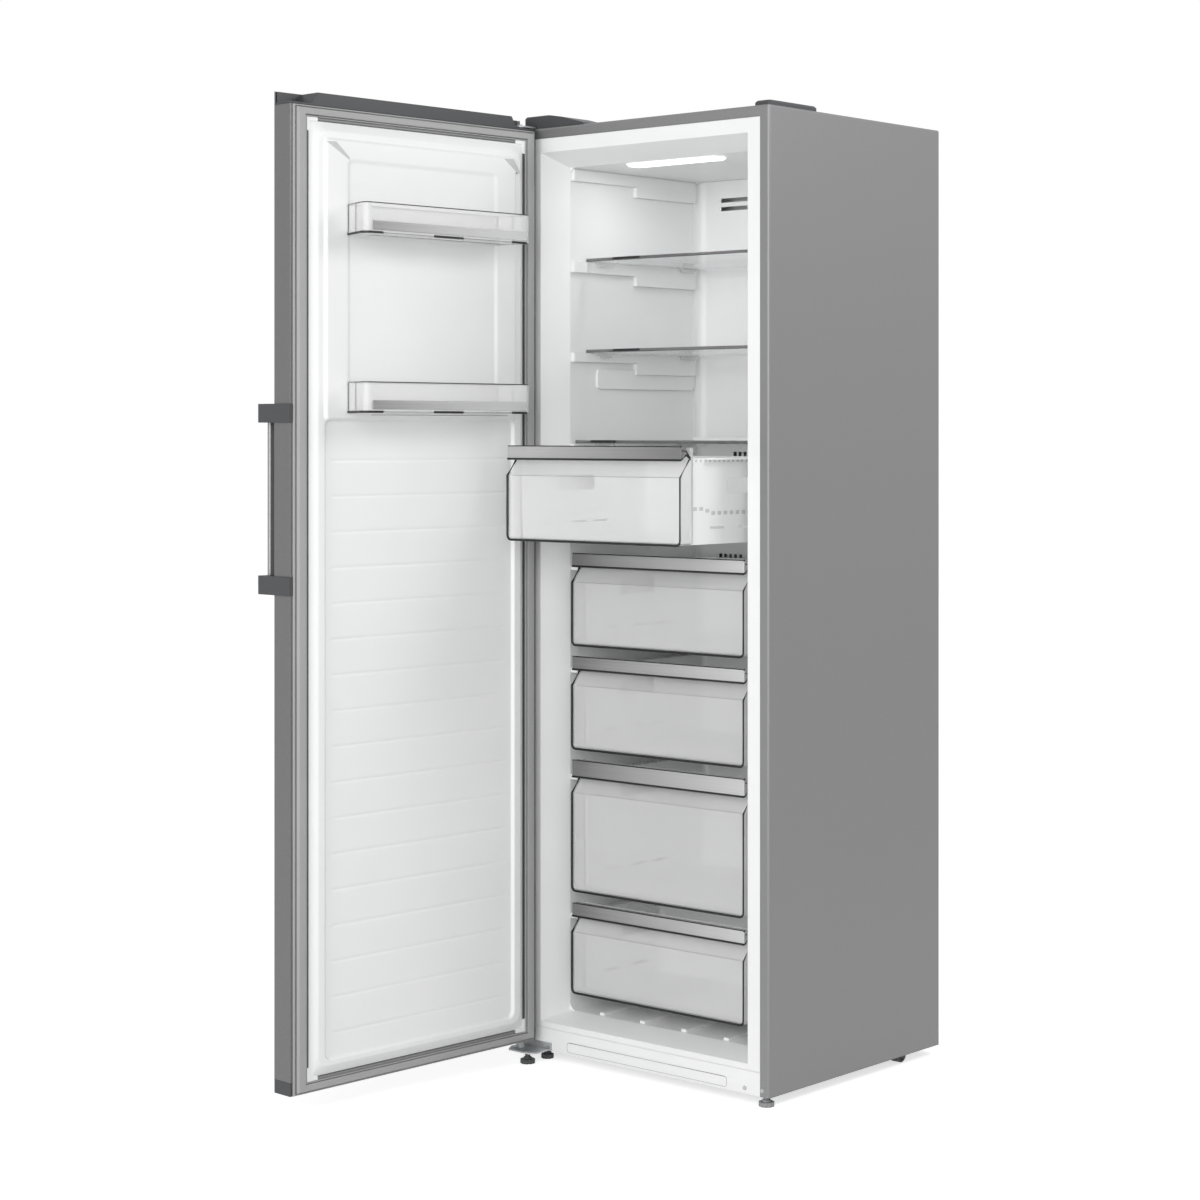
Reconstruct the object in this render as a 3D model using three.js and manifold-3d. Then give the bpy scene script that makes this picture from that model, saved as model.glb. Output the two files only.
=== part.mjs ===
// Upright freezer with its door open: a foamed steel cabinet, a moulded white liner, three glass
// shelves, five drawers with clear fronts, and a reversible side-hung door with two racks.
// Millimetres. X is to the right of someone facing the cabinet, Y to the back, Z up.
// The cabinet's front plane is y = 0 and its lower edge is z = 0 until the group is set down.
import * as THREE from 'three';
import { mergeVertices } from 'three/addons/utils/BufferGeometryUtils.js';
import Module from 'manifold-3d';

const wasm = await Module();
wasm.setup();

// ---- Driving dimensions -------------------------------------------------------------------------

const CLEARANCE = 0.3; // between pieces that touch
const SHEET = 1.2; // folded steel sheet
const HINGE_PLATE = 3;

const CABINET_WIDTH = 595;
const CABINET_HEIGHT = 1750;
const CABINET_DEPTH = 530;
const CABINET_EDGE_RADIUS = 4;
const FOOT_HEIGHT = 18;
const FLANGE = 20; // steel return round the front opening
const LINER_BORDER = 28; // flat liner border inside the steel return
const LINER_THICKNESS = 2.2;
const PLINTH_HEIGHT = 42;
const PLINTH_RETURN = 20;
const PAN_LIP = 14;

const WALL = 69.5; // side wall, steel to food
const CEILING_WALL = 72;
const FLOOR_LEVEL = 68;
const THROAT_DEPTH = 60; // the liner narrows from its border to its walls over this depth
const THROAT_SILL = 14; // border to throat, at the floor
const THROAT_HEAD = 25; // border to throat, at the ceiling
const BACK_WALL = 37; // behind the liner's back
const BACK_RIM = 12; // folded edge of the back panel
const LINER_CORNER = 16;
const DUCT_ROOM = 43; // for the evaporator, between the liner's back and its moulded cover
const DUCT_CORNER = 20;
const DUCT_THICKNESS = 2.5;
const AIR_SLOT_STARTS = [81.6, 118.1]; // left edge of the group behind the first and the second drawer
const AIR_SLOT_COUNT = 5;
const AIR_SLOT_PITCH = 12.6;
const AIR_SLOT_WIDTH = 8;
const AIR_SLOT_HEIGHT = 11;
const AIR_SLOT_DROP = 25; // below the drawer's top
const LONG_SLOT_SPANS = [[5, 84], [93, 172]];
const LONG_SLOT_DROPS = [44, 61]; // below the ceiling
const LONG_SLOT_HEIGHT = 8;

const BAY_DEPTH = 178; // machine bay, behind and below the food space
const BAY_HEIGHT = 252;
const BAY_FOAM = 38;

const DOOR_SIDE_INSET = 1; // narrower than the cabinet at each side
const DOOR_THICKNESS = 47;
const DOOR_BOTTOM = 20;
const DOOR_RISE = 17; // above the cabinet
const DOOR_GAP = 11; // from the cabinet's front plane to the door's inner face
const DOOR_OPEN = 92.8; // degrees open as shown
const DOOR_HEM = 5;
const DOOR_EDGE_RADIUS = 5;
const CAP_HEIGHT = 24; // end cap above the steel side
const CAP_BOSS = 18; // end cap below the edge of the steel side
const CAP_RECESS_LENGTH = 50;
const CAP_RECESS_DEPTH = 20;
const CAP_FRONT_WALL = 3;
const PIVOT_INSET = 21.5; // from the door's hinge edge
const PIVOT_SETBACK = 18.5; // in front of the door's inner face
const PIN_RADIUS = 4;
const PIN_CLEARANCE = 0.4;
const PIN_REACH = 13;

const GASKET_INSET = 5; // the seal and the rim are nearer the door's ends than its sides
const GASKET_END = 0.5;
const GASKET_WIDTH = 28;
const GASKET_END_WIDTH = 20.5;
const GASKET_HEIGHT = 10.3;
const RETAINER_WIDTH = 3.2;
const RETAINER_HEIGHT = 2.5;
const RIM_INSET = 37;
const RIM_END = 26.5;
const RIM_BEVEL = 15.6;
const RIM_END_BEVEL = 17.5;
const RIM_HEIGHT = 13.3;
const LOWER_PANEL_INSET = 72;
const LOWER_PANEL_HEIGHT = 7.5;
const LOWER_PANEL_TOP = 1192; // above the cabinet's lower edge
const LOWER_PANEL_BOTTOM = 76; // above the cabinet's lower edge
const PANEL_BEVEL = 5;
const SHOULDER_INSET = 64; // raised frame round the rack bay
const SHOULDER_HEAD = 54;
const SHOULDER_HEIGHT = 18;
const BAY_INSET = 114;
const BAY_HEAD = 88; // below the liner's upper edge
const BAY_SILL = 9;
const BAY_FLOOR = 14;
const DOOR_LINER_THICKNESS = 2.4;
const GROOVE_COUNT = 17;
const GROOVE_PITCH = 62.8;
const GROOVE_WIDTH = 5;
const GROOVE_DEPTH = 1.4;
const GROOVE_START = 70; // below the top of the lower panel

const UPPER_RACK_DROP = 170; // from the top of the steel side
const LOWER_RACK_LIFT = 68; // above the lower panel
const RACK_HEIGHT = 53;
const RACK_REACH = 90; // front wall, from the door's inner face
const RACK_WALL = 2.2;
const RACK_BACK_INSET = 115.5; // from the door's side
const RACK_FRONT_INSET = 96.5;
const RACK_CORNER = 14;
const RACK_BAND_HEIGHT = 15.5;
const RACK_BAND_LIFT = 5.5;
const RACK_BAND_THICKNESS = 1.4;
const RACK_HOOK_INSET = 30;
const RACK_HOOK_WIDTH = 16;
const RACK_HOOK_REACH = 4;
const RACK_HOOK_DROP = 12;
const RACK_HOOK_HEIGHT = 20;

const HANDLE_TOP = 1222;
const HANDLE_BOTTOM = 888;
const HANDLE_REACH = 37; // in front of the door
const HANDLE_BAR_DEPTH = 13;
const HANDLE_BAR_WIDTH = 24;
const HANDLE_INSET = 12;
const BRACKET_HEIGHT = 33;
const BRACKET_PLATE = 4;
const BRACKET_CLIP = 4.4;
const BRACKET_LAP = 26; // over the door's outer face
const BRACKET_HOOK = 3; // round the bar's edge

const SHELF_STEPS = [174, 175, 172]; // room over each shelf, from the lowest up
const SHELF_GAP = 10; // from the first drawer to the shelf over it
const SHELF_FRONTS = [102, 102, 71];
const SHELF_BACK_GAP = 22; // from the duct cover
const GLASS_STEP = 1; // glass below the trim's upper edge
const SHELF_GLASS = 4;
const SHELF_TRIM_HEIGHT = 6;
const SHELF_TRIM_DEPTH = 7;
const SHELF_SIDE_GAP = 3;
const SHELF_REAR_TRIM_HEIGHT = 11;
const SHELF_LUG = [8, 48, 9]; // thickness, length, height
const SHELF_LUG_START = 120;
const SHELF_LUG_END = 8; // from the shelf's back
const SHELF_STRIP = 20;
const RIB_PROTRUSION = 9;
const RIB_STEP = 245; // where a shelf rib gets deeper
const TOP_RIB_RISE = 3; // of the uppermost rib, into the ceiling
const RIB_DROPS = [[28, 48], [28, 47], [24, 46], [26, 26]]; // front and rear height of each rib
const PAD_SPAN = [99, 137]; // raised pad on the side wall, above the lowest shelf
const PAD_FRONT = 134;
const PAD_PROTRUSION = 5;
const PAD_RADIUS = 9;

const DRAWER_SIDE_GAP = 20; // from the side wall
const DRAWER_FRONT = 43;
const DRAWER_PULL = 178; // how far the top drawer is drawn out
const DRAWER_TOPS = [1147, 942, 746, 549, 277];
const DRAWER_BOTTOMS = [974, 768, 571, 301, 107];
const GRIP_HEIGHTS = [23.5, 24, 24, 31, 24];
const DRAWER_BACK_GAP = 12; // from the duct cover, or from the step over the machine bay
const DRAWER_WALL = 2.2;
const DRAWER_DRAFT = 5;
const DRAWER_CORNER = 12;
const FRONT_WALL = 2.6;
const FRONT_RETURN = 34;
const FRONT_LEAN = 15;
const FRONT_CORNER = 7;
const KNEE_DROP = 31; // from the grip to the knee of the clear front
const RUNNER_REACH = 14;
const RUNNER_THICKNESS = 3;
const RUNNER_START = 72; // behind the drawer's front
const RAIL_HEIGHT = 9;
const RAIL_PROTRUSION = 17;
const HANDHOLD_START = 134;
const HANDHOLD_LENGTH = 104;
const HANDHOLD_HEIGHT = 28;
const HANDHOLD_DROP = 84;
const HANDHOLD_RADIUS = 6.5;
const SIDE_SLOT_LENGTH = 42;
const SIDE_SLOT_HEIGHT = 4;
const SIDE_SLOT_LIFT = 27;
const SIDE_SLOT_STARTS = [88, 168, 230];
const FLOOR_RIBS = [-150, -50, 50, 150];
const FLOOR_RIB_WIDTH = 12;
const FLOOR_RIB_HEIGHT = 5;

const EVAPORATOR_HALF = 165;
const EVAPORATOR_SPAN = [920, 1110]; // lower and upper edge
const FIN_COUNT = 20;
const FIN_GAP = 4; // from the duct cover
const FIN_SPINE = 24;
const EVAPORATOR_TUBE = 4;
const EVAPORATOR_BENDS = [935, 1010];
const BEND_HEIGHT = 30;
const FAN_RADIUS = 52;
const FAN_HUB = 15;
const FAN_DEPTH = 14;
const FAN_BLADES = 7;
const FAN_HEIGHT = 1210;
const MOTOR_RADIUS = 13;
const MOTOR_STAY = [80, 10]; // half its length and half its height
const LAMP_SIZE = [216, 42, 4]; // width, depth and height
const LAMP_FRONT = 80;
const LAMP_RADIUS = 8;

const COMPRESSOR_RADIUS = 66;
const COMPRESSOR_STRETCH = 1.25;
const COMPRESSOR_HEIGHT = 158;
const COMPRESSOR_X = 110;
const COMPRESSOR_PLATE = 3;
const RELAY_WIDTH = 44;
const RELAY_REACH = 24;
const MOUNT_HEIGHT = 16;
const MOUNT_RADIUS = 9;
const MOUNT_SPREAD = [72, 50];
const TRAY_HEIGHT = 34;
const TRAY_HALF = 88;
const TRAY_GAP = 14; // from the front of the machine bay
const TRAY_WALL = 2;
const CONDENSER_INSET = 27.5; // from the cabinet's side
const CONDENSER_END = -30;
const CONDENSER_SETBACK = 40; // behind the middle of the bay
const CONDENSER_ROWS = 5;
const CONDENSER_PITCH = 36;
const CONDENSER_TUBE = 2.4;
const CONDENSER_WIRES = 5;
const CONDENSER_WIRE = 1.8;
const SUCTION_RADIUS = 4;
const CAPILLARY_RADIUS = 2;
const DRIER_RADIUS = 9;
const DRIER_LENGTH = 90;
const DRIER_HEIGHT = 120;
const GLAND_RADIUS = 13;
const GLAND_BORE = 4.5;

const ROLLER_RADIUS = 15;
const ROLLER_WIDTH = 18;
const ROLLER_INSET = 25.5; // from the cabinet's side
const ROLLER_SETBACK = 100; // from the cabinet's back
const ROLLER_BORE = 3.4;
const AXLE_RADIUS = 3;
const BRACKET_SHEET = 1.5;
const FOOT_STEM = 5;
const FOOT_RADIUS = 14;
const LEFT_FOOT_RADIUS = 12;
const LEFT_FOOT_INSET = 52.5;
const RIGHT_FOOT_INSET = 16.5;
const FOOT_SETBACK = 14;
const HINGE_FOOT_OFFSET = [29, -10.5]; // from the pivot

const HINGE_ARM = 11; // half width of the upper hinge's arm
const HINGE_PLATE_REACH = 96; // from the pivot
const HINGE_PLATE_BACK = 62;
const PIN_HEAD = 3;
const LOWER_HINGE_SPAN = [-18, 54]; // from the pivot
const LOWER_HINGE_REACH = 26;
const LOWER_HINGE_LEVEL = 3;
const COVER_WALL = 2;
const COVER_INSET = 5;
const COVER_WIDTH = 150;
const COVER_HEIGHT = 24;
const COVER_SPAN = [3, 84]; // front and back of the hinge cover
const BLANK_COVER_WIDTH = 37;
const BLANK_COVER_INSET = 6.5;
const BLANK_COVER_SPAN = [12, 152];
const BLANK_COVER_HEIGHT = 9.5;

const STEEL_GREY = 0x86888a;
const LINER_WHITE = 0xf1f2f2;
const DARK_PLASTIC = 0x3b3c3e;
const CLEAR_PLASTIC = 0xe3e8ea;

// ---- Values worked out from them ----------------------------------------------------------------

const halfWidth = CABINET_WIDTH / 2;
const linerDepth = CABINET_DEPTH - BACK_WALL;
const ductFace = linerDepth - DUCT_ROOM;
const shelfBack = ductFace - SHELF_BACK_GAP;
const interiorHalf = halfWidth - WALL;
const drawerHalf = interiorHalf - DRAWER_SIDE_GAP;
const openingHalf = halfWidth - FLANGE - LINER_BORDER;
const ceiling = CABINET_HEIGHT - CEILING_WALL;
const borderTop = CABINET_HEIGHT - FLANGE;
const openingTop = ceiling + THROAT_HEAD;
const openingBottom = FLOOR_LEVEL - THROAT_SILL;
const bayFront = CABINET_DEPTH - BAY_DEPTH;
const stepDepth = bayFront - BAY_FOAM;
const stepHeight = BAY_HEIGHT + BAY_FOAM;
const rollerX = halfWidth - ROLLER_INSET;
const rollerY = CABINET_DEPTH - ROLLER_SETBACK;
const doorTop = CABINET_HEIGHT + DOOR_RISE;
const doorHalf = halfWidth - DOOR_SIDE_INSET;
const doorInner = -DOOR_GAP;
const doorOuter = -DOOR_GAP - DOOR_THICKNESS;
const pivotX = -doorHalf + PIVOT_INSET;
const pivotY = doorInner - PIVOT_SETBACK;
const sideTop = doorTop - CAP_HEIGHT;
const sideBottom = DOOR_BOTTOM + CAP_HEIGHT;
const recessFloor = doorTop - CAP_RECESS_DEPTH;
const rackTops = [sideTop - UPPER_RACK_DROP, LOWER_PANEL_TOP + LOWER_RACK_LIFT];
const rackBackHalf = doorHalf - RACK_BACK_INSET;
const rackFrontHalf = doorHalf - RACK_FRONT_INSET;

// The shelves share the room between the first drawer and the ceiling.
const lowestShelf = DRAWER_TOPS[0] + SHELF_GAP;
const shelfStretch = (ceiling - lowestShelf) / SHELF_STEPS.reduce((sum, step) => sum + step, 0);
const shelfTops = [lowestShelf];
SHELF_STEPS.slice(0, -1).forEach((step) => shelfTops.unshift(shelfTops[0] + step * shelfStretch));

// ---- Shape helpers ------------------------------------------------------------------------------

// A closed geometry as a solid. Faces that point inwards are turned round first.
function solid(geometry) {
  const bare = geometry.clone();
  bare.deleteAttribute('normal');
  bare.deleteAttribute('uv');
  const merged = mergeVertices(bare, 1e-4);
  const points = merged.attributes.position;
  const index = Array.from(merged.index.array);
  const corner = [new THREE.Vector3(), new THREE.Vector3(), new THREE.Vector3()];
  let volume = 0;
  for (let i = 0; i < index.length; i += 3) {
    corner.forEach((c, k) => c.fromBufferAttribute(points, index[i + k]));
    volume += corner[0].dot(corner[1].clone().cross(corner[2]));
  }
  if (volume < 0) {
    index.reverse();
  }
  const mesh = new wasm.Mesh({
    numProp: 3,
    vertProperties: Float32Array.from(points.array),
    triVerts: Uint32Array.from(index),
  });
  return new wasm.Manifold(mesh);
}

function geometryOf(manifold) {
  const { vertProperties, triVerts } = manifold.getMesh();
  const geometry = new THREE.BufferGeometry();
  geometry.setAttribute('position', new THREE.BufferAttribute(Float32Array.from(vertProperties), 3));
  geometry.setIndex(Array.from(triVerts));
  geometry.computeVertexNormals();
  return geometry;
}

const join = (first, ...rest) => rest.reduce((whole, piece) => whole.add(piece), first);
const cut = (first, ...rest) => rest.reduce((whole, piece) => whole.subtract(piece), first);
const common = (first, ...rest) => rest.reduce((whole, piece) => whole.intersect(piece), first);

function box(x0, x1, y0, y1, z0, z1) {
  const geometry = new THREE.BoxGeometry(x1 - x0, y1 - y0, z1 - z0);
  geometry.translate((x0 + x1) / 2, (y0 + y1) / 2, (z0 + z1) / 2);
  return solid(geometry);
}

// A profile is pushed out along one axis. Its two coordinates are (x, y), (y, z) or (x, z).
const alongAxis = {
  z: (depth, from) => new THREE.Matrix4().makeTranslation(0, 0, from),
  x: (depth, from) => new THREE.Matrix4().set(0, 0, 1, from, 1, 0, 0, 0, 0, 1, 0, 0, 0, 0, 0, 1),
  y: (depth, from) => new THREE.Matrix4().set(1, 0, 0, 0, 0, 0, -1, from + depth, 0, 1, 0, 0, 0, 0, 0, 1),
};

function push(profile, axis, from, to, curveSegments = 3) {
  const shape = profile instanceof THREE.Shape ? profile : polygon(profile);
  const depth = to - from;
  const geometry = new THREE.ExtrudeGeometry(shape, { depth, bevelEnabled: false, curveSegments });
  geometry.applyMatrix4(alongAxis[axis](depth, from));
  return solid(geometry);
}

function polygon(points) {
  return new THREE.Shape(points.map(([a, b]) => new THREE.Vector2(a, b)));
}

// A rectangle whose corners have their own radii, from the low corner round anticlockwise.
function rounded(a0, a1, b0, b1, radii) {
  const [r0, r1, r2, r3] = Array.isArray(radii) ? radii : [radii, radii, radii, radii];
  const shape = new THREE.Shape();
  const turn = (a, b, radius, start) => {
    if (radius > 0) {
      shape.absarc(a, b, radius, start, start + Math.PI / 2, false);
    } else {
      shape.lineTo(a, b);
    }
  };
  shape.moveTo(a0 + r0, b0);
  turn(a1 - r1, b0 + r1, r1, -Math.PI / 2);
  turn(a1 - r2, b1 - r2, r2, 0);
  turn(a0 + r3, b1 - r3, r3, Math.PI / 2);
  turn(a0 + r0, b0 + r0, r0, Math.PI);
  return shape;
}

// Skins a row of loops that have as many points each, with a flat cap at both ends.
function loft(loops) {
  const count = loops[0].length;
  const positions = loops.flat().flatMap((p) => [p.x, p.y, p.z]);
  const index = [];
  for (let level = 0; level + 1 < loops.length; level += 1) {
    for (let i = 0; i < count; i += 1) {
      const a = level * count + i;
      const b = level * count + ((i + 1) % count);
      index.push(a, b, b + count, a, b + count, a + count);
    }
  }
  const last = (loops.length - 1) * count;
  for (let i = 1; i + 1 < count; i += 1) {
    index.push(0, i + 1, i, last, last + i, last + i + 1);
  }
  const geometry = new THREE.BufferGeometry();
  geometry.setAttribute('position', new THREE.BufferAttribute(Float32Array.from(positions), 3));
  geometry.setIndex(index);
  return solid(geometry);
}

// A rectangle in x and z at one depth, for lofts that run front to back.
function frame(halfX, z0, z1, y, centre = 0) {
  return [[-halfX, z0], [halfX, z0], [halfX, z1], [-halfX, z1]].map(
    ([x, z]) => new THREE.Vector3(centre + x, y, z),
  );
}

// A rounded rectangle in x and y at one height, for lofts that run upwards.
function outline(x0, x1, y0, y1, radius, z, segments = 2) {
  const points = rounded(x0, x1, y0, y1, radius).getPoints(segments);
  return points.slice(0, -1).map((p) => new THREE.Vector3(p.x, p.y, z));
}

const towards = {
  x: new THREE.Matrix4().makeRotationZ(-Math.PI / 2),
  y: new THREE.Matrix4(),
  z: new THREE.Matrix4().makeRotationX(Math.PI / 2),
};

function cylinder(radius, axis, from, to, centre, sides = 20) {
  const geometry = new THREE.CylinderGeometry(radius, radius, to - from, sides);
  geometry.translate(0, (from + to) / 2, 0);
  geometry.applyMatrix4(towards[axis]);
  const [x, y, z] = centre;
  geometry.translate(x, y, z);
  return solid(geometry);
}

// A profile of (radius, height) turned about an upright axis.
function turned(profile, x, y, z, sides = 24) {
  const geometry = new THREE.LatheGeometry(profile.map(([r, h]) => new THREE.Vector2(r, h)), sides);
  geometry.rotateX(Math.PI / 2);
  geometry.translate(x, y, z);
  return solid(geometry);
}

function tube(points, radius, steps, sides = 6) {
  const curve = new THREE.CatmullRomCurve3(points.map((p) => new THREE.Vector3(...p)), false, 'centripetal');
  const section = new THREE.Shape();
  section.absarc(0, 0, radius, 0, 2 * Math.PI, false);
  const geometry = new THREE.ExtrudeGeometry(section, {
    steps,
    extrudePath: curve,
    bevelEnabled: false,
    curveSegments: sides / 2,
  });
  return solid(geometry);
}

const mirrored = (piece) => join(piece, piece.mirror([1, 0, 0]));

function material(color, roughness, metalness = 0, opacity = 1) {
  return new THREE.MeshStandardMaterial({ color, roughness, metalness, opacity, transparent: opacity < 1 });
}

const finishes = {
  skin: material(STEEL_GREY, 0.42, 0.55),
  galvanised: material(0xb4b7b9, 0.5, 0.7),
  liner: material(LINER_WHITE, 0.4),
  foam: material(0xe8dfb8, 0.95),
  dark: material(DARK_PLASTIC, 0.55),
  black: material(0x17181a, 0.5),
  clear: material(CLEAR_PLASTIC, 0.12, 0, 0.45),
  glass: material(0xd9e6e4, 0.05, 0, 0.4),
  grip: material(0x9b9d9f, 0.35, 0.6),
  gasket: material(0xa7a8a9, 0.7),
  lamp: material(0xffffff, 0.3),
  aluminium: material(0xc9cbcd, 0.4, 0.9),
  copper: material(0xb06a3f, 0.35, 0.9),
};

function part(parent, name, piece, finish) {
  const mesh = new THREE.Mesh(geometryOf(piece), finish);
  mesh.name = name;
  parent.add(mesh);
}

// ---- Cabinet: steel, plinth and pan -------------------------------------------------------------

function shellEnvelope(inset) {
  const radius = CABINET_EDGE_RADIUS - inset;
  const half = halfWidth - inset;
  const top = CABINET_HEIGHT - inset;
  const plan = rounded(-half, half, inset, CABINET_DEPTH, [radius, radius, 0, 0]);
  const side = rounded(inset, CABINET_DEPTH, 0, top, [0, 0, 0, radius]);
  const front = rounded(-half, half, 0, top, [0, 0, radius, radius]);
  return common(
    push(plan, 'z', 0, top),
    push(side, 'x', -half, half),
    push(front, 'y', inset, CABINET_DEPTH),
  );
}

function outerShell() {
  const inside = shellEnvelope(SHEET);
  const back = CABINET_DEPTH;
  const open = box(-halfWidth, halfWidth, back - SHEET, back + SHEET, -1, CABINET_HEIGHT - SHEET);
  const belowOpen = box(-halfWidth + SHEET, halfWidth - SHEET, SHEET, back, -1, SHEET);
  const front = box(-halfWidth + FLANGE, halfWidth - FLANGE, -1, SHEET + 1, -1, borderTop);
  const behind = box(-halfWidth + SHEET, halfWidth - SHEET, back - 1, back + 1, -1, CABINET_HEIGHT - SHEET);
  return cut(shellEnvelope(0), inside, belowOpen, front, common(open, behind));
}

function backPanel() {
  const half = halfWidth - SHEET - CLEARANCE;
  const low = BAY_HEIGHT - SHEET;
  const high = CABINET_HEIGHT - SHEET - CLEARANCE;
  const back = CABINET_DEPTH;
  const margin = 3 * BACK_RIM;
  const sheet = box(-half, half, back - 2 * SHEET, back - SHEET, low, high);
  const field = box(-half + margin, half - margin, back - SHEET - 0.2, back, low + margin, high - margin);
  const lip = cut(
    box(-half, half, back - BACK_RIM, back - 2 * SHEET + 0.1, low, high),
    box(-half + SHEET, half - SHEET, back - BACK_RIM - 1, back, low + SHEET, high - SHEET),
  );
  return join(common(join(sheet, field, lip), shellEnvelope(SHEET + CLEARANCE)), bayPanel());
}

// Sheet that closes the foam off from the machine bay: an upright front and a roof.
function bayPanel() {
  const half = halfWidth - SHEET - CLEARANCE;
  const wall = box(-half + SHEET + CLEARANCE, half - SHEET - CLEARANCE, bayFront + CLEARANCE,
    bayFront + CLEARANCE + SHEET, SHEET + CLEARANCE, BAY_HEIGHT);
  const roof = box(-half, half, bayFront + CLEARANCE, CABINET_DEPTH - SHEET, BAY_HEIGHT - SHEET, BAY_HEIGHT);
  return join(wall, roof);
}

function plinth() {
  const half = halfWidth - FLANGE - CLEARANCE;
  const wall = 2.5;
  const front = CLEARANCE;
  const profile = [
    [front, 0], [front + PLINTH_RETURN, 0], [front + PLINTH_RETURN, wall], [front + wall, wall],
    [front + wall, PLINTH_HEIGHT - wall], [front + PLINTH_RETURN, PLINTH_HEIGHT - wall],
    [front + PLINTH_RETURN, PLINTH_HEIGHT], [front, PLINTH_HEIGHT],
  ];
  return push(profile, 'x', -half, half);
}

function baseFrame() {
  const half = halfWidth - SHEET - CLEARANCE;
  const front = PLINTH_RETURN + 2 * CLEARANCE + SHEET;
  const back = CABINET_DEPTH;
  const floor = box(-half, half, front, back, 0, SHEET);
  const lips = cut(
    box(-half, half, front, back, 0, PAN_LIP),
    box(-half + SHEET, half - SHEET, front + SHEET, back - SHEET, -1, PAN_LIP + 1),
  );
  const side = ROLLER_WIDTH / 2 + 1;
  const room = ROLLER_RADIUS + 2;
  const slot = box(rollerX - side, rollerX + side, rollerY - room, rollerY + room, -1, SHEET + 1);
  return join(cut(join(floor, lips), mirrored(slot)), rollerBrackets(), compressorMounts());
}

// U-shaped brackets on the pan that carry the rollers' axles.
function rollerBrackets() {
  const half = ROLLER_WIDTH / 2 + 1;
  const reach = ROLLER_RADIUS + 8;
  const axleHeight = ROLLER_RADIUS - FOOT_HEIGHT;
  const top = axleHeight + ROLLER_RADIUS + 6;
  const ear = 7;
  const outer = half + BRACKET_SHEET;
  const cheek = (x) => {
    const side = [
      [rollerY - reach, SHEET / 2], [rollerY - ear, SHEET / 2], [rollerY - ear, axleHeight - ear],
      [rollerY + ear, axleHeight - ear], [rollerY + ear, SHEET / 2], [rollerY + reach, SHEET / 2],
      [rollerY + reach, top], [rollerY - reach, top],
    ];
    return push(side, 'x', x, x + BRACKET_SHEET);
  };
  const back = rollerY + reach;
  const roof = box(rollerX - outer, rollerX + outer, rollerY - reach, back, top - BRACKET_SHEET, top);
  const centre = [0, rollerY, axleHeight];
  const axle = cylinder(AXLE_RADIUS, 'x', rollerX - half - 1, rollerX + half + 1, centre, 14);
  return mirrored(join(cheek(rollerX - outer), cheek(rollerX + half), roof, axle));
}

function roller(x) {
  const height = ROLLER_RADIUS - FOOT_HEIGHT;
  const side = ROLLER_WIDTH / 2;
  const centre = [0, rollerY, height];
  const wheel = cylinder(ROLLER_RADIUS, 'x', x - side, x + side, centre, 24);
  const bore = cylinder(ROLLER_BORE, 'x', x - ROLLER_WIDTH, x + ROLLER_WIDTH, centre, 10);
  const dish = (from, to) => cut(
    cylinder(ROLLER_RADIUS - 3.5, 'x', from, to, centre, 16),
    cylinder(ROLLER_BORE + 3, 'x', from - 1, to + 1, centre, 10),
  );
  return cut(wheel, bore, dish(x - side - 1, x - side + 2.5), dish(x + side - 2.5, x + side + 1));
}

// A levelling foot: a knurled disc on a threaded stem that stands in the part above it.
function foot(x, y, radius, stemTop) {
  const knurls = 10;
  const points = [];
  for (let i = 0; i < knurls; i += 1) {
    for (const [share, r] of [[0, radius - 1.2], [0.25, radius], [0.55, radius], [0.8, radius - 1.2]]) {
      const angle = ((i + share) / knurls) * 2 * Math.PI;
      points.push([x + r * Math.cos(angle), y + r * Math.sin(angle)]);
    }
  }
  const disc = push(points, 'z', -FOOT_HEIGHT, -FOOT_HEIGHT + 8);
  const neck = cylinder(FOOT_STEM + 2.5, 'z', -FOOT_HEIGHT + 7, -FOOT_HEIGHT + 12, [x, y, 0], 14);
  const stem = cylinder(FOOT_STEM, 'z', -FOOT_HEIGHT + 11, stemTop, [x, y, 0], 14);
  return join(disc, neck, stem);
}

// ---- Cabinet: liner, foam and what they hold ----------------------------------------------------

// The food space, grown outwards by an offset: a box with rounded edges and a step over the
// machine bay, and a throat that widens towards the front.
function foodSpace(offset, frontY) {
  const half = interiorHalf + offset;
  const radius = LINER_CORNER + offset;
  const low = FLOOR_LEVEL - offset;
  const high = ceiling + offset;
  const plan = rounded(-half, half, THROAT_DEPTH - 0.5, linerDepth + offset, [0, 0, radius, radius]);
  const front = rounded(-half, half, low, high, radius);
  const room = common(push(plan, 'z', low, high), push(front, 'y', THROAT_DEPTH - 0.5, linerDepth + offset));
  const back = linerDepth + offset + 1;
  const step = box(-half - 1, half + 1, stepDepth + offset, back, low - 1, stepHeight - offset);
  const lean = (frontY / THROAT_DEPTH) * (openingHalf - interiorHalf);
  const throat = loft([
    frame(openingHalf + offset - lean, openingBottom - offset + (frontY / THROAT_DEPTH) * THROAT_SILL,
      openingTop + offset - (frontY / THROAT_DEPTH) * THROAT_HEAD, frontY),
    frame(half, low, high, THROAT_DEPTH),
  ]);
  return join(cut(room, step), throat);
}

function innerLiner() {
  const borderHalf = halfWidth - FLANGE - CLEARANCE;
  const borderBack = CLEARANCE + LINER_THICKNESS;
  const borderLow = PLINTH_HEIGHT + CLEARANCE;
  const border = box(-borderHalf, borderHalf, CLEARANCE, borderBack, borderLow, borderTop - CLEARANCE);
  const skin = cut(join(border, foodSpace(LINER_THICKNESS, CLEARANCE)), foodSpace(0, -1));
  const ribs = join(mirrored(shelfRibs()), mirrored(drawerRails()), floorRibs());
  return join(skin, common(ribs, foodSpace(LINER_THICKNESS / 2, CLEARANCE)));
}

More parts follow.
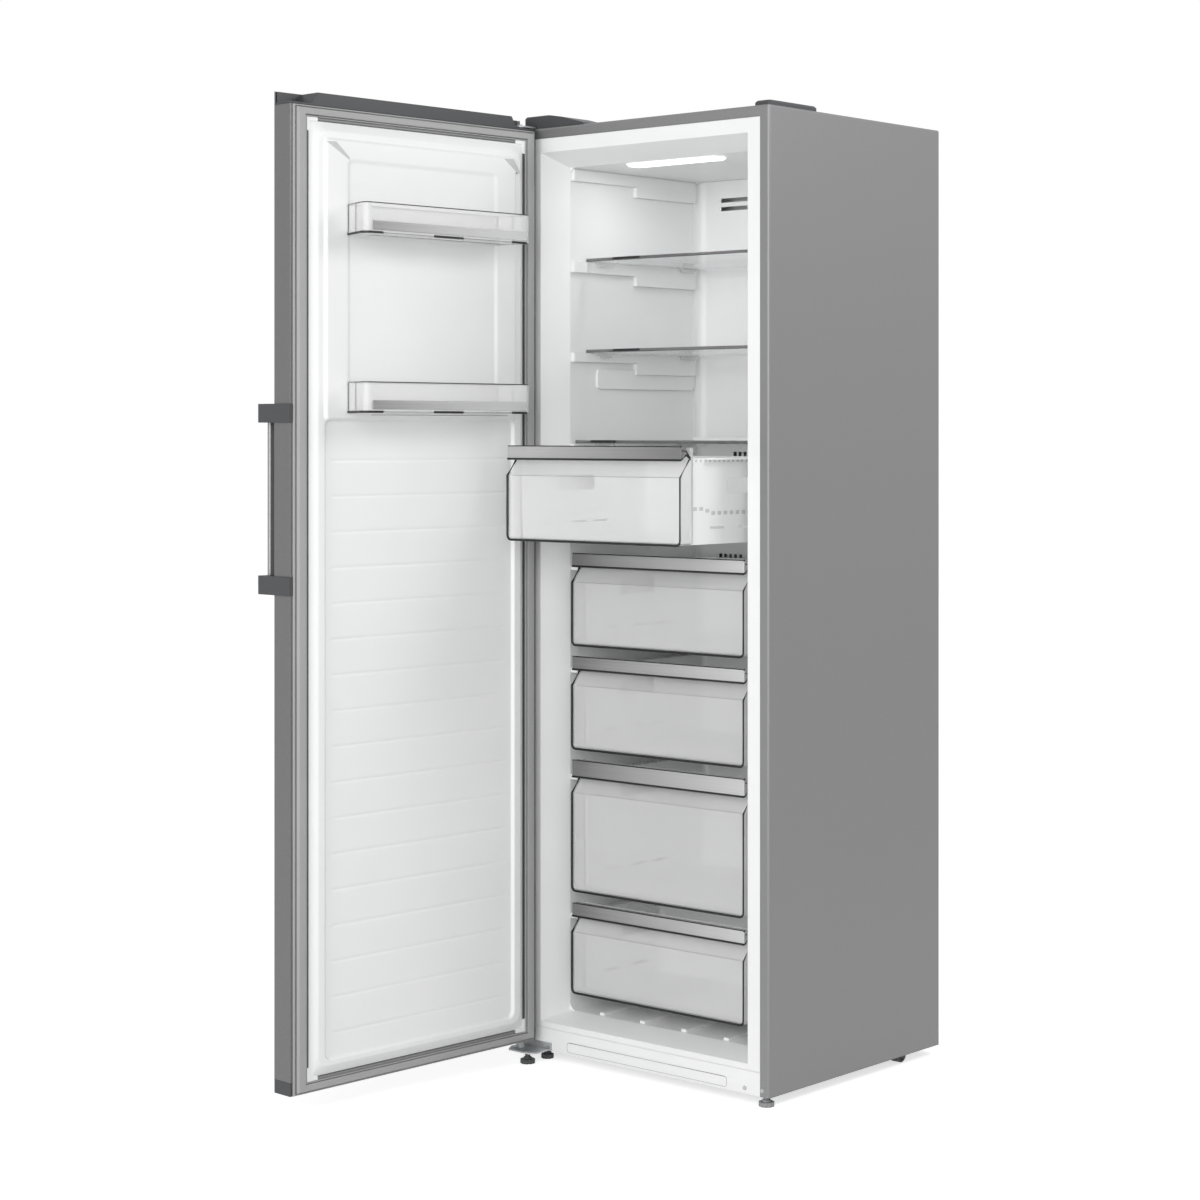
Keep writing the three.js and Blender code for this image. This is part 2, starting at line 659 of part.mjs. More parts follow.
// Ribs on the side walls that the shelves rest on. The front stretch is shallower than the rear.
function shelfRibs() {
  const inner = interiorHalf - RIB_PROTRUSION;
  const front = THROAT_DEPTH + 2;
  const ribs = [ceiling + TOP_RIB_RISE, ...shelfTops].map((level, i) => {
    const top = level - SHELF_TRIM_HEIGHT - CLEARANCE;
    const [shallow, deep] = RIB_DROPS[i];
    const side = [
      [front, level - shallow], [RIB_STEP, level - shallow], [RIB_STEP, level - deep],
      [shelfBack, level - deep], [shelfBack, top], [front, top],
    ];
    return push(side, 'x', inner, interiorHalf + 1);
  });
  const [padLow, padHigh] = PAD_SPAN.map((rise) => lowestShelf + rise * shelfStretch);
  const pad = rounded(PAD_FRONT, shelfBack, padLow, padHigh, PAD_RADIUS);
  return join(...ribs, push(pad, 'x', interiorHalf - PAD_PROTRUSION, interiorHalf + 1, 3));
}

const runnerTop = (i) => DRAWER_TOPS[i] - GRIP_HEIGHTS[i] + RUNNER_THICKNESS;

function drawerRails() {
  const rails = DRAWER_TOPS.map((_, i) => {
    const top = runnerTop(i) - RUNNER_THICKNESS - CLEARANCE;
    const back = i === DRAWER_TOPS.length - 1 ? stepDepth - 4 : shelfBack;
    const inner = interiorHalf - RAIL_PROTRUSION;
    return box(inner, interiorHalf + 1, THROAT_DEPTH + 2, back, top - RAIL_HEIGHT, top);
  });
  return join(...rails);
}

function floorRibs() {
  const ribs = FLOOR_RIBS.map((x) => box(x - FLOOR_RIB_WIDTH / 2, x + FLOOR_RIB_WIDTH / 2, THROAT_DEPTH + 4,
    stepDepth - 6, FLOOR_LEVEL - 1, FLOOR_LEVEL + FLOOR_RIB_HEIGHT));
  return join(...ribs);
}

function insulationFoam() {
  const side = halfWidth - SHEET - CLEARANCE;
  const front = 2 * CLEARANCE + Math.max(SHEET, LINER_THICKNESS);
  const panRoom = PAN_LIP + CLEARANCE;
  const block = common(
    box(-side, side, front, CABINET_DEPTH - 2 * SHEET - CLEARANCE, SHEET + CLEARANCE, CABINET_HEIGHT),
    shellEnvelope(SHEET + CLEARANCE),
  );
  const inset = LINER_THICKNESS + CLEARANCE;
  const bay = box(-halfWidth, halfWidth, bayFront, CABINET_DEPTH + 1, -1, BAY_HEIGHT + SHEET + CLEARANCE);
  const plinthRoom = box(-halfWidth, halfWidth, -1, PLINTH_RETURN + 3 * CLEARANCE + 2 * SHEET, -1,
    PLINTH_HEIGHT + CLEARANCE);
  const lipRoom = cut(
    box(-halfWidth, halfWidth, -1, CABINET_DEPTH + 1, -1, panRoom),
    box(-side + SHEET + CLEARANCE, side - SHEET - CLEARANCE, 0, bayFront, -2, panRoom + 1),
  );
  const rimFront = CABINET_DEPTH - BACK_RIM - CLEARANCE;
  const rimRoom = cut(
    box(-halfWidth, halfWidth, rimFront, CABINET_DEPTH + 1, BAY_HEIGHT - 1, CABINET_HEIGHT),
    box(-side + SHEET + CLEARANCE, side - SHEET - CLEARANCE, 0, CABINET_DEPTH + 2, 0,
      CABINET_HEIGHT - 2 * SHEET - 3 * CLEARANCE),
  );
  return cut(block, foodSpace(inset, -1), bay, plinthRoom, lipRoom, rimRoom);
}

// Moulded cover with its two side edges curving forward, and its air slots.
function ductCover() {
  const half = interiorHalf - CLEARANCE;
  const inner = half - DUCT_THICKNESS;
  const front = ductFace - DUCT_CORNER;
  const outer = DUCT_CORNER + DUCT_THICKNESS;
  const high = ceiling - CLEARANCE;
  const plan = new THREE.Shape();
  plan.moveTo(-half, front);
  plan.absarc(-half + outer, front, outer, Math.PI, Math.PI / 2, true);
  plan.absarc(half - outer, front, outer, Math.PI / 2, 0, true);
  plan.lineTo(inner, front);
  plan.absarc(inner - DUCT_CORNER, front, DUCT_CORNER, 0, Math.PI / 2, false);
  plan.absarc(-inner + DUCT_CORNER, front, DUCT_CORNER, Math.PI / 2, Math.PI, false);
  const face = rounded(-half, half, stepHeight, high, [0, 0, LINER_CORNER, LINER_CORNER]);
  const cover = common(
    push(plan, 'z', stepHeight + CLEARANCE, high, 5),
    push(face, 'y', front - 1, linerDepth, 4),
  );
  const slot = (x0, x1, z0, z1) => box(x0, x1, ductFace - 1, ductFace + DUCT_THICKNESS + 1, z0, z1);
  const long = LONG_SLOT_DROPS.flatMap((drop) => LONG_SLOT_SPANS.map(
    ([x0, x1]) => slot(x0, x1, ceiling - drop, ceiling - drop + LONG_SLOT_HEIGHT),
  ));
  const numbers = Array.from({ length: AIR_SLOT_COUNT }, (_, i) => i);
  const groups = AIR_SLOT_STARTS.flatMap((start, drawer) => numbers.map((i) => {
    const x = start + AIR_SLOT_PITCH * i;
    const z = DRAWER_TOPS[drawer] - AIR_SLOT_DROP;
    return slot(x, x + AIR_SLOT_WIDTH, z, z + AIR_SLOT_HEIGHT);
  }));
  return cut(cover, mirrored(join(...long, ...groups)));
}

// Fins as one comb with the bends of its tube at both sides.
function evaporator() {
  const half = EVAPORATOR_HALF;
  const pitch = (2 * half) / FIN_COUNT;
  const front = ductFace + DUCT_THICKNESS + FIN_GAP;
  const back = linerDepth - CLEARANCE;
  const root = back - FIN_SPINE;
  const plan = [[-half, back]];
  for (let i = 0; i < FIN_COUNT; i += 1) {
    const x = -half + i * pitch;
    plan.push([x, front], [x + pitch / 3, front], [x + pitch / 3, root], [x + pitch, root]);
  }
  plan.push([half, back]);
  const comb = push(plan, 'z', ...EVAPORATOR_SPAN);
  const y = back - FIN_SPINE / 2;
  const bends = [-1, 1].flatMap((side) => EVAPORATOR_BENDS.map((z) => tube([
    [side * (half - 4), y, z], [side * (half + 12), y, z], [side * (half + 20), y, z + BEND_HEIGHT / 2],
    [side * (half + 12), y, z + BEND_HEIGHT], [side * (half - 4), y, z + BEND_HEIGHT],
  ], EVAPORATOR_TUBE, 6)));
  return join(comb, ...bends);
}

const fanPlane = ductFace + DUCT_THICKNESS + 3;

function evaporatorFan() {
  const hub = cylinder(FAN_HUB, 'y', fanPlane, fanPlane + FAN_DEPTH, [0, 0, FAN_HEIGHT], 20);
  const blade = new THREE.BoxGeometry(FAN_RADIUS - 12, 1.6, 26);
  blade.rotateX(0.42);
  blade.translate((FAN_RADIUS + 12) / 2, fanPlane + 8, 0);
  const blades = Array.from({ length: FAN_BLADES }, (_, i) => {
    const turnedBlade = blade.clone();
    turnedBlade.rotateY((i / FAN_BLADES) * 2 * Math.PI);
    turnedBlade.translate(0, 0, FAN_HEIGHT);
    return solid(turnedBlade);
  });
  return join(hub, ...blades);
}

// Fan motor with the stay that screws it to the liner's back.
function fanMotor() {
  const front = fanPlane + FAN_DEPTH + CLEARANCE;
  const [long, tall] = MOTOR_STAY;
  const body = cylinder(MOTOR_RADIUS, 'y', front, linerDepth - 3, [0, 0, FAN_HEIGHT], 20);
  const back = linerDepth - CLEARANCE;
  const stay = box(-long, long, linerDepth - 4, back, FAN_HEIGHT - tall, FAN_HEIGHT + tall);
  return join(body, stay);
}

function ledLamp() {
  const top = ceiling - CLEARANCE;
  const [width, depth, height] = LAMP_SIZE;
  const ring = (inset, z) => outline(-width / 2 + inset, width / 2 - inset, LAMP_FRONT + inset,
    LAMP_FRONT + depth - inset, LAMP_RADIUS - inset / 2, z);
  return loft([ring(height, top - height), ring(0, top)]);
}

// ---- Machine bay --------------------------------------------------------------------------------

const bayMiddle = bayFront + BAY_DEPTH / 2;
const compressorBase = SHEET / 2 + MOUNT_HEIGHT + CLEARANCE;

function compressor() {
  const r = COMPRESSOR_RADIUS;
  const h = COMPRESSOR_HEIGHT;
  const profile = [[0, 0], [r * 0.72, 0], [r * 0.95, h * 0.12], [r, h * 0.2], [r, h * 0.44],
    [r + 3, h * 0.44], [r + 3, h * 0.49], [r, h * 0.49], [r, h * 0.68], [r * 0.93, h * 0.84],
    [r * 0.68, h * 0.96], [0, h]];
  const can = turned(profile, 0, 0, 0, 20).scale([COMPRESSOR_STRETCH, 1, 1]);
  const [spreadX, spreadY] = MOUNT_SPREAD;
  const foot = rounded(-spreadX - 14, spreadX + 14, -spreadY - 12, spreadY + 12, 10);
  const plate = push(foot, 'z', 0, COMPRESSOR_PLATE);
  const side = r * COMPRESSOR_STRETCH;
  const relay = box(side - 8, side + RELAY_REACH, -RELAY_WIDTH / 2, RELAY_WIDTH / 2, h * 0.22, h * 0.62);
  return join(can, plate, relay).translate([COMPRESSOR_X, bayMiddle, compressorBase]);
}

// Four grommets on the pan that the compressor stands on.
function compressorMounts() {
  const [spreadX, spreadY] = MOUNT_SPREAD;
  const grommets = [[-1, -1], [1, -1], [1, 1], [-1, 1]].map(([i, j]) => turned(
    [[0, 0], [MOUNT_RADIUS + 2, 0], [MOUNT_RADIUS - 1, MOUNT_HEIGHT / 2], [MOUNT_RADIUS, MOUNT_HEIGHT],
      [0, MOUNT_HEIGHT]],
    COMPRESSOR_X + i * spreadX, bayMiddle + j * spreadY, SHEET / 2, 8,
  ));
  return join(...grommets);
}

// Tray that catches the defrost water and dries it on the warm compressor.
function dripTray() {
  const low = compressorBase + COMPRESSOR_HEIGHT + CLEARANCE;
  const front = bayFront + TRAY_GAP;
  const back = CABINET_DEPTH - TRAY_GAP - 2;
  const ring = (inset, lean, z) => {
    const half = TRAY_HALF - inset - lean;
    const end = inset + lean * 0.75;
    const radius = 14 - inset - lean / 4;
    return outline(COMPRESSOR_X - half, COMPRESSOR_X + half, front + end, back - end, radius, z);
  };
  const body = loft([ring(0, 8, low), ring(0, 0, low + TRAY_HEIGHT)]);
  const inside = loft([ring(TRAY_WALL, 8, low + TRAY_WALL), ring(TRAY_WALL, 0, low + TRAY_HEIGHT + 1)]);
  return cut(body, inside);
}

// Condenser: one tube folded back and forth, with upright wires across it.
function condenser() {
  const x0 = -halfWidth + CONDENSER_INSET;
  const x1 = CONDENSER_END;
  const y = bayMiddle + CONDENSER_SETBACK;
  const low = SHEET + CLEARANCE;
  const first = low + CONDENSER_TUBE + 8;
  const points = [];
  for (let i = 0; i < CONDENSER_ROWS; i += 1) {
    const z = first + i * CONDENSER_PITCH;
    const [from, to] = i % 2 ? [x1, x0] : [x0, x1];
    points.push([from, y, z], [(from * 2 + to) / 3, y, z], [(from + to * 2) / 3, y, z], [to, y, z]);
    if (i + 1 < CONDENSER_ROWS) {
      points.push([to + (i % 2 ? -10 : 10), y, z + CONDENSER_PITCH / 2]);
    }
  }
  const serpentine = tube(points, CONDENSER_TUBE, 48);
  const margin = 14;
  const spacing = (x1 - x0 - 2 * margin) / (CONDENSER_WIRES - 1);
  const wireBack = y - CONDENSER_TUBE + 1;
  const top = first + 8 + (CONDENSER_ROWS - 1) * CONDENSER_PITCH;
  const wires = Array.from({ length: CONDENSER_WIRES }, (_, i) => {
    const x = x0 + margin + i * spacing - CONDENSER_WIRE / 2;
    return box(x, x + CONDENSER_WIRE, wireBack - CONDENSER_TUBE, wireBack, low, top);
  });
  return join(serpentine, ...wires);
}

function coolingPipes() {
  const edge = COMPRESSOR_X - COMPRESSOR_RADIUS * COMPRESSOR_STRETCH - 5;
  const rise = edge - 24;
  const wall = bayMiddle - 60;
  const drierX = edge - 40;
  const drierY = wall + 6;
  const drierTop = DRIER_HEIGHT + DRIER_LENGTH;
  const suction = tube([
    [edge, bayMiddle, 90], [edge - 16, bayMiddle, 92], [rise, bayMiddle - 14, 130],
    [rise, bayMiddle - 40, 200], [rise, wall, BAY_HEIGHT - 8], [rise, wall, BAY_HEIGHT - SHEET - CLEARANCE],
  ], SUCTION_RADIUS, 14);
  const drier = turned([
    [0, 0], [3, 0], [DRIER_RADIUS, 8], [DRIER_RADIUS, DRIER_LENGTH - 28], [3, DRIER_LENGTH - 18],
    [3, DRIER_LENGTH], [0, DRIER_LENGTH],
  ], drierX, drierY, DRIER_HEIGHT, 12);
  const outlet = tube([
    [drierX, drierY, DRIER_HEIGHT + 2], [drierX, drierY, DRIER_HEIGHT - 20],
    [drierX - 12, bayMiddle - 30, 70], [drierX - 20, bayMiddle, 50],
  ], CONDENSER_TUBE, 8);
  const capillary = tube([
    [drierX, drierY, drierTop - 2], [drierX, drierY, drierTop + 12], [drierX + 6, drierY - 2, drierTop + 26],
    [rise - 2, wall, drierTop + 28],
  ], CAPILLARY_RADIUS, 6);
  return join(suction, drier, outlet, capillary);
}

// Bush where a mains lead would leave the back of the cabinet.
function cableGland() {
  const outside = CABINET_DEPTH + CLEARANCE;
  const ring = cut(
    join(
      cylinder(GLAND_RADIUS, 'y', outside, outside + 3, [0, 0, 0], 20),
      cylinder(GLAND_RADIUS - 4, 'y', outside + 2, outside + 9, [0, 0, 0], 16),
    ),
    cylinder(GLAND_BORE, 'y', outside + 1.2, outside + 10, [0, 0, 0], 12),
  );
  return ring.translate([halfWidth - 70, 0, BAY_HEIGHT + 60]);
}

// ---- Hinges and top covers ----------------------------------------------------------------------

function upperHinge() {
  const low = CABINET_HEIGHT + CLEARANCE;
  const arm = HINGE_ARM;
  const end = pivotX + HINGE_PLATE_REACH;
  const top = low + HINGE_PLATE;
  const plan = new THREE.Shape();
  plan.moveTo(pivotX - arm, pivotY);
  plan.absarc(pivotX, pivotY, arm, Math.PI, 2 * Math.PI, false);
  plan.lineTo(pivotX + arm, 8);
  plan.lineTo(end, 14);
  plan.lineTo(end, HINGE_PLATE_BACK);
  plan.lineTo(pivotX - arm, HINGE_PLATE_BACK);
  const plate = push(plan, 'z', low, top, 6);
  const pin = cylinder(PIN_RADIUS, 'z', recessFloor - PIN_REACH, top + PIN_HEAD, [pivotX, pivotY, 0], 24);
  return join(plate, pin);
}

// Cover over the upper hinge: tall at the hinge side and falling away towards the middle.
function hingeCover() {
  const low = CABINET_HEIGHT + CLEARANCE;
  const wall = COVER_WALL;
  const left = -halfWidth + COVER_INSET;
  const right = left + COVER_WIDTH;
  const high = CABINET_HEIGHT + COVER_HEIGHT;
  const [front, back] = COVER_SPAN;
  const profile = [
    [left, low], [right, low], [right - 4, low + 4], [right - 60, high - 5], [right - 90, high],
    [left + 4, high], [left, high - 4],
  ];
  const hollow = [
    [left + wall, low - 1], [right - 8, low - 1], [right - 8, low + 3], [right - 62, high - 5 - wall],
    [right - 91, high - wall], [left + wall, high - wall],
  ];
  const body = common(
    push(profile, 'y', front, back),
    push(rounded(front, back, low - 1, high + 1, [0, 0, 6, 4]), 'x', left - 1, right + 1, 3),
  );
  const armHalf = HINGE_ARM + 2;
  const armTop = low + HINGE_PLATE + 1;
  const armWay = box(pivotX - armHalf, pivotX + armHalf, pivotY, front + wall + 1, low - 1, armTop);
  return cut(body, push(hollow, 'y', front + wall, back - wall), armWay);
}

function blankCover() {
  const low = CABINET_HEIGHT + CLEARANCE;
  const x1 = halfWidth - BLANK_COVER_INSET;
  const x0 = x1 - BLANK_COVER_WIDTH;
  const [front, back] = BLANK_COVER_SPAN;
  const ring = (inset, z) => outline(x0 + inset, x1 - inset, front + inset, back - inset, 6, z);
  return loft([ring(0, low), ring(0, low + 6), ring(3, low + BLANK_COVER_HEIGHT)]);
}

function lowerHinge() {
  const plan = new THREE.Shape();
  const [left, right] = LOWER_HINGE_SPAN.map((x) => pivotX + x);
  const front = pivotY - LOWER_HINGE_REACH;
  const back = -CLEARANCE;
  const low = LOWER_HINGE_LEVEL;
  plan.moveTo(left, back);
  plan.lineTo(left, pivotY - 6);
  plan.lineTo(left + 12, front);
  plan.lineTo(right - 8, front);
  plan.lineTo(right, front + 10);
  plan.lineTo(right, back);
  const plate = push(plan, 'z', low, low + HINGE_PLATE);
  const flange = box(left, right, back - HINGE_PLATE, back, low, DOOR_BOTTOM - 4);
  const pinTop = DOOR_BOTTOM + PIN_REACH;
  const collar = cylinder(PIN_RADIUS + 5, 'z', low, DOOR_BOTTOM - CLEARANCE, [pivotX, pivotY, 0], 24);
  const pin = cylinder(PIN_RADIUS, 'z', low, pinTop, [pivotX, pivotY, 0], 24);
  return join(plate, flange, collar, pin);
}

// ---- Door ---------------------------------------------------------------------------------------

function doorSkin() {
  const edge = DOOR_EDGE_RADIUS;
  const outer = rounded(-doorHalf, doorHalf, doorOuter, doorInner, [edge, edge, 0, 0]);
  const radius = edge - SHEET;
  const inner = rounded(-doorHalf + SHEET, doorHalf - SHEET, doorOuter + SHEET, doorInner - SHEET,
    [radius, radius, 0, 0]);
  const body = push(outer, 'z', DOOR_BOTTOM, doorTop);
  const hollow = push(inner, 'z', DOOR_BOTTOM - 1, doorTop + 1);
  const openHalf = doorHalf - DOOR_HEM;
  const mouth = box(-openHalf, openHalf, doorInner - 2 * SHEET, doorInner + 1, DOOR_BOTTOM - 1, doorTop + 1);
  const over = doorHalf + 1;
  const notch = (z0, z1) => box(-over, over, doorOuter + DOOR_EDGE_RADIUS, doorInner + 1, z0, z1);
  return cut(body, hollow, mouth, notch(sideTop, doorTop + 1), notch(DOOR_BOTTOM - 1, sideBottom));
}

// End cap: a plug inside the steel, and a shoulder that covers its cut edge. Both ends have the
// recess and the pin hole, so the door can be hung on either side.
function doorCap(top) {
  const plugHalf = doorHalf - DOOR_EDGE_RADIUS - CLEARANCE - 0.2;
  const faceFront = doorOuter + SHEET + CLEARANCE;
  const edge = top ? sideTop : sideBottom;
  const end = top ? doorTop : DOOR_BOTTOM;
  const inwards = top ? -1 : 1;
  const span = (a, b) => [Math.min(a, b), Math.max(a, b)];
  const gap = edge - inwards * CLEARANCE;
  const plugBack = doorInner - SHEET - CLEARANCE;
  const plug = box(-plugHalf, plugHalf, faceFront, plugBack, ...span(edge + inwards * CAP_BOSS, gap));
  const shoulderFront = doorOuter + DOOR_EDGE_RADIUS + CLEARANCE;
  const shoulder = box(-doorHalf, doorHalf, shoulderFront, doorInner, ...span(end, gap));
  const face = box(-plugHalf, plugHalf, faceFront, doorInner, ...span(end, gap));
  const linerBack = doorInner - DOOR_LINER_THICKNESS - CLEARANCE;
  const linerHalf = doorHalf - DOOR_HEM;
  const linerLow = DOOR_BOTTOM + DOOR_HEM;
  const linerRoom = box(-linerHalf, linerHalf, linerBack, doorInner + 1, linerLow, sideTop - DOOR_HEM);
  let cap = cut(join(plug, shoulder, face), linerRoom);
  if (top) {
    const recess = push(
      [[doorHalf - CAP_RECESS_LENGTH, recessFloor], [doorHalf + 1, recessFloor], [doorHalf + 1, doorTop + 1],
        [doorHalf - CAP_RECESS_LENGTH - 12, doorTop + 1]],
      'y', doorOuter + SHEET + CAP_FRONT_WALL, doorInner + 1,
    );
    cap = cut(cap, mirrored(recess));
  }
  const holeFrom = top ? recessFloor - PIN_REACH - 1 : DOOR_BOTTOM - 1;
  const holeTo = top ? recessFloor + 1 : DOOR_BOTTOM + PIN_REACH + 1;
  const hole = cylinder(PIN_RADIUS + PIN_CLEARANCE, 'z', holeFrom, holeTo, [pivotX, pivotY, 0], 24);
  return cut(cap, mirrored(hole));
}

// The moulded inside of the door, drawn in by an offset: a flat border for the seal, a bevelled
// rim, a sunk lower panel, and above it a raised frame round the bay of the racks.
function doorRelief(offset) {
  const low = DOOR_BOTTOM;
  const high = sideTop;
  const y = (height) => doorInner + height - offset;
  const ring = (side, end, height) => frame(doorHalf - side, low + end, high - end, y(height));
  const base = DOOR_HEM + CLEARANCE;
  const slab = loft([ring(base, base, -DOOR_LINER_THICKNESS), ring(base, base, 0)]);
  const rim = loft([
    ring(RIM_INSET + offset, RIM_END + offset, -1),
    ring(RIM_INSET + RIM_BEVEL + offset, RIM_END + RIM_END_BEVEL + offset, RIM_HEIGHT),
  ]);
  const bevel = PANEL_BEVEL;
  const over = y(RIM_HEIGHT) + 1 + 2 * offset;
  const panelHalf = doorHalf - LOWER_PANEL_INSET + offset;
  const panelLow = LOWER_PANEL_BOTTOM - offset;
  const panelHigh = LOWER_PANEL_TOP + offset;
  const panel = loft([
    frame(panelHalf, panelLow + bevel, panelHigh, y(LOWER_PANEL_HEIGHT)),
    frame(panelHalf + bevel, panelLow, panelHigh + bevel, y(RIM_HEIGHT)),
    frame(panelHalf + bevel, panelLow, panelHigh + bevel, over),
  ]);
  const shoulderHalf = doorHalf - SHOULDER_INSET - offset;
  const sill = LOWER_PANEL_TOP + bevel + offset;
  const head = high - SHOULDER_HEAD - offset;
  const shoulder = loft([
    frame(shoulderHalf + bevel, sill - 1, head + bevel, y(RIM_HEIGHT - 1)),
    frame(shoulderHalf, sill + 1, head, y(SHOULDER_HEIGHT)),
  ]);
  const bayHalf = doorHalf - BAY_INSET + offset;
  const baySill = LOWER_PANEL_TOP + BAY_SILL - offset;
  const bayHead = high - BAY_HEAD + offset;
  const bayOver = y(SHOULDER_HEIGHT) + 1 + 2 * offset;
  const bay = loft([
    frame(bayHalf - bevel, baySill, bayHead - bevel, y(BAY_FLOOR)),
    frame(bayHalf, baySill, bayHead, y(SHOULDER_HEIGHT)),
    frame(bayHalf, baySill, bayHead, bayOver),
  ]);
  return cut(join(slab, cut(rim, panel), shoulder), bay);
}

function doorLiner() {
  const skin = cut(doorRelief(0), doorRelief(DOOR_LINER_THICKNESS));
  const half = doorHalf - LOWER_PANEL_INSET - 4;
  const face = doorInner + LOWER_PANEL_HEIGHT;
  const grooves = Array.from({ length: GROOVE_COUNT }, (_, i) => {
    const z = LOWER_PANEL_TOP - GROOVE_START - i * GROOVE_PITCH;
    return box(-half, half, face - GROOVE_DEPTH, face + 2, z - GROOVE_WIDTH / 2, z + GROOVE_WIDTH / 2);
  });
  const hooks = rackTops.map((top) => {
    const z1 = top - RACK_HOOK_DROP;
    const x0 = rackBackHalf - RACK_HOOK_INSET;
    const front = doorInner + SHOULDER_HEIGHT + RACK_HOOK_REACH;
    return box(x0, x0 + RACK_HOOK_WIDTH, doorInner + BAY_FLOOR - 1, front, z1 - RACK_HOOK_HEIGHT, z1);
  });
  return join(cut(skin, ...grooves), mirrored(join(...hooks)));
}

function doorFoam() {
  const half = doorHalf - SHEET - CLEARANCE;
  const low = sideBottom + CAP_BOSS + CLEARANCE;
  const high = sideTop - CAP_BOSS - CLEARANCE;
  const inset = DOOR_LINER_THICKNESS + CLEARANCE;
  const core = push(rounded(-half, half, doorOuter + SHEET + CLEARANCE, doorInner - inset,
    [DOOR_EDGE_RADIUS - SHEET, DOOR_EDGE_RADIUS - SHEET, 0, 0]), 'z', low, high, 2);
  const behindLiner = common(doorRelief(inset), box(-half, half, doorOuter, SHOULDER_HEIGHT, low, high));
  return join(core, behindLiner);
}

// Magnetic seal: four mitred sides that rise to a flat magnet face.
function gasket() {
  const ring = (side, end, height) => frame(doorHalf - GASKET_INSET - side, DOOR_BOTTOM + GASKET_END + end,
    sideTop - GASKET_END - end, doorInner + height);
  const outer = loft([ring(0, 0, CLEARANCE), ring(7, 6, GASKET_HEIGHT * 0.6), ring(13, 10, GASKET_HEIGHT)]);
  const hole = loft([
    ring(GASKET_WIDTH, GASKET_END_WIDTH, CLEARANCE - 1),
    ring(GASKET_WIDTH - 2, GASKET_END_WIDTH - 1.5, GASKET_HEIGHT + 1),
  ]);
  return cut(outer, hole);
}

// Dark strip that holds the seal's inner edge.
function gasketRetainer() {
  const half = doorHalf - GASKET_INSET - GASKET_WIDTH - CLEARANCE;
  const end = GASKET_END + GASKET_END_WIDTH + CLEARANCE;
  const low = DOOR_BOTTOM + end;
  const high = sideTop - end;
  const y0 = doorInner + CLEARANCE;
  const w = RETAINER_WIDTH;
  return cut(
    box(-half, half, y0, y0 + RETAINER_HEIGHT, low, high),
    box(-half + w, half - w, y0 - 1, y0 + RETAINER_HEIGHT + 1, low + w, high - w),
  );
}

const barFront = doorOuter - HANDLE_REACH;
const barX = doorHalf - HANDLE_INSET - HANDLE_BAR_WIDTH;

function handleBar() {
  const back = barFront + HANDLE_BAR_DEPTH;
  const plan = rounded(barX, barX + HANDLE_BAR_WIDTH, barFront + BRACKET_PLATE + CLEARANCE, back, 3);
  return push(plan, 'z', HANDLE_BOTTOM + 1, HANDLE_TOP - 1, 3);
}

// A bracket that clips round the door's free edge and carries the bar in front of it.
function handleBracket(low) {
  const side = doorHalf + CLEARANCE;
  const outer = side + BRACKET_PLATE;
  const back = doorInner + CLEARANCE;
  const barBack = barFront + HANDLE_BAR_DEPTH;
  const clip = doorHalf - BRACKET_CLIP;
  const face = doorOuter - CLEARANCE;
  const lap = doorHalf - BRACKET_LAP;
  const neck = side - BRACKET_PLATE;
  const barEdge = barX + HANDLE_BAR_WIDTH + CLEARANCE;
  const hook = barX - BRACKET_HOOK;
  const bed = barBack + CLEARANCE;
  const plan = [
    [hook, barFront], [outer, barFront], [outer, back + 2], [clip, back + 2], [clip, back], [side, back],
    [side, face], [lap, face], [lap, face - BRACKET_PLATE], [neck, face - BRACKET_PLATE],
    [neck, bed + BRACKET_HOOK], [hook, bed + BRACKET_HOOK], [hook, bed], [barEdge, bed],
    [barEdge, barFront + BRACKET_PLATE], [hook, barFront + BRACKET_PLATE],
  ];
  return push(plan, 'z', low, low + BRACKET_HEIGHT);
}

// ---- Door racks ---------------------------------------------------------------------------------

function rackPlan(inset) {
  const back = doorInner + SHOULDER_HEIGHT + CLEARANCE + inset;
  const front = doorInner + RACK_REACH - inset;
  const radius = RACK_CORNER - inset;
  const a = rackBackHalf - inset;
  const b = rackFrontHalf - inset;
  const shape = new THREE.Shape();
  shape.moveTo(-a, back);
  shape.lineTo(a, back);
  shape.lineTo(b, front - radius);
  shape.absarc(b - radius, front - radius, radius, 0, Math.PI / 2, false);
  shape.absarc(-b + radius, front - radius, radius, Math.PI / 2, Math.PI, false);
  return shape;
}

// Clear bin with notches in its back that drop over the door's hooks.
function rackBin(top) {
  const low = top - RACK_HEIGHT;
  const room = push(rackPlan(RACK_WALL), 'z', low + RACK_WALL, top + 1);
  const body = cut(push(rackPlan(0), 'z', low, top), room);
  const hookX = rackBackHalf - RACK_HOOK_INSET;
  const back = doorInner + SHOULDER_HEIGHT;
  const notchTop = top - RACK_HOOK_DROP + CLEARANCE;
  const notchFront = back + RACK_HOOK_REACH + CLEARANCE;
  const notch = box(hookX - 1, hookX + RACK_HOOK_WIDTH + 1, back - 1, notchFront, low - 1, notchTop);
  return cut(body, mirrored(notch));
}

function rackBand(top) {
  const low = top - RACK_HEIGHT + RACK_BAND_LIFT;
  const y0 = doorInner + RACK_REACH + CLEARANCE;
  const half = rackFrontHalf - RACK_CORNER;
  return box(-half, half, y0, y0 + RACK_BAND_THICKNESS, low, low + RACK_BAND_HEIGHT);
}

// ---- Shelves ------------------------------------------------------------------------------------

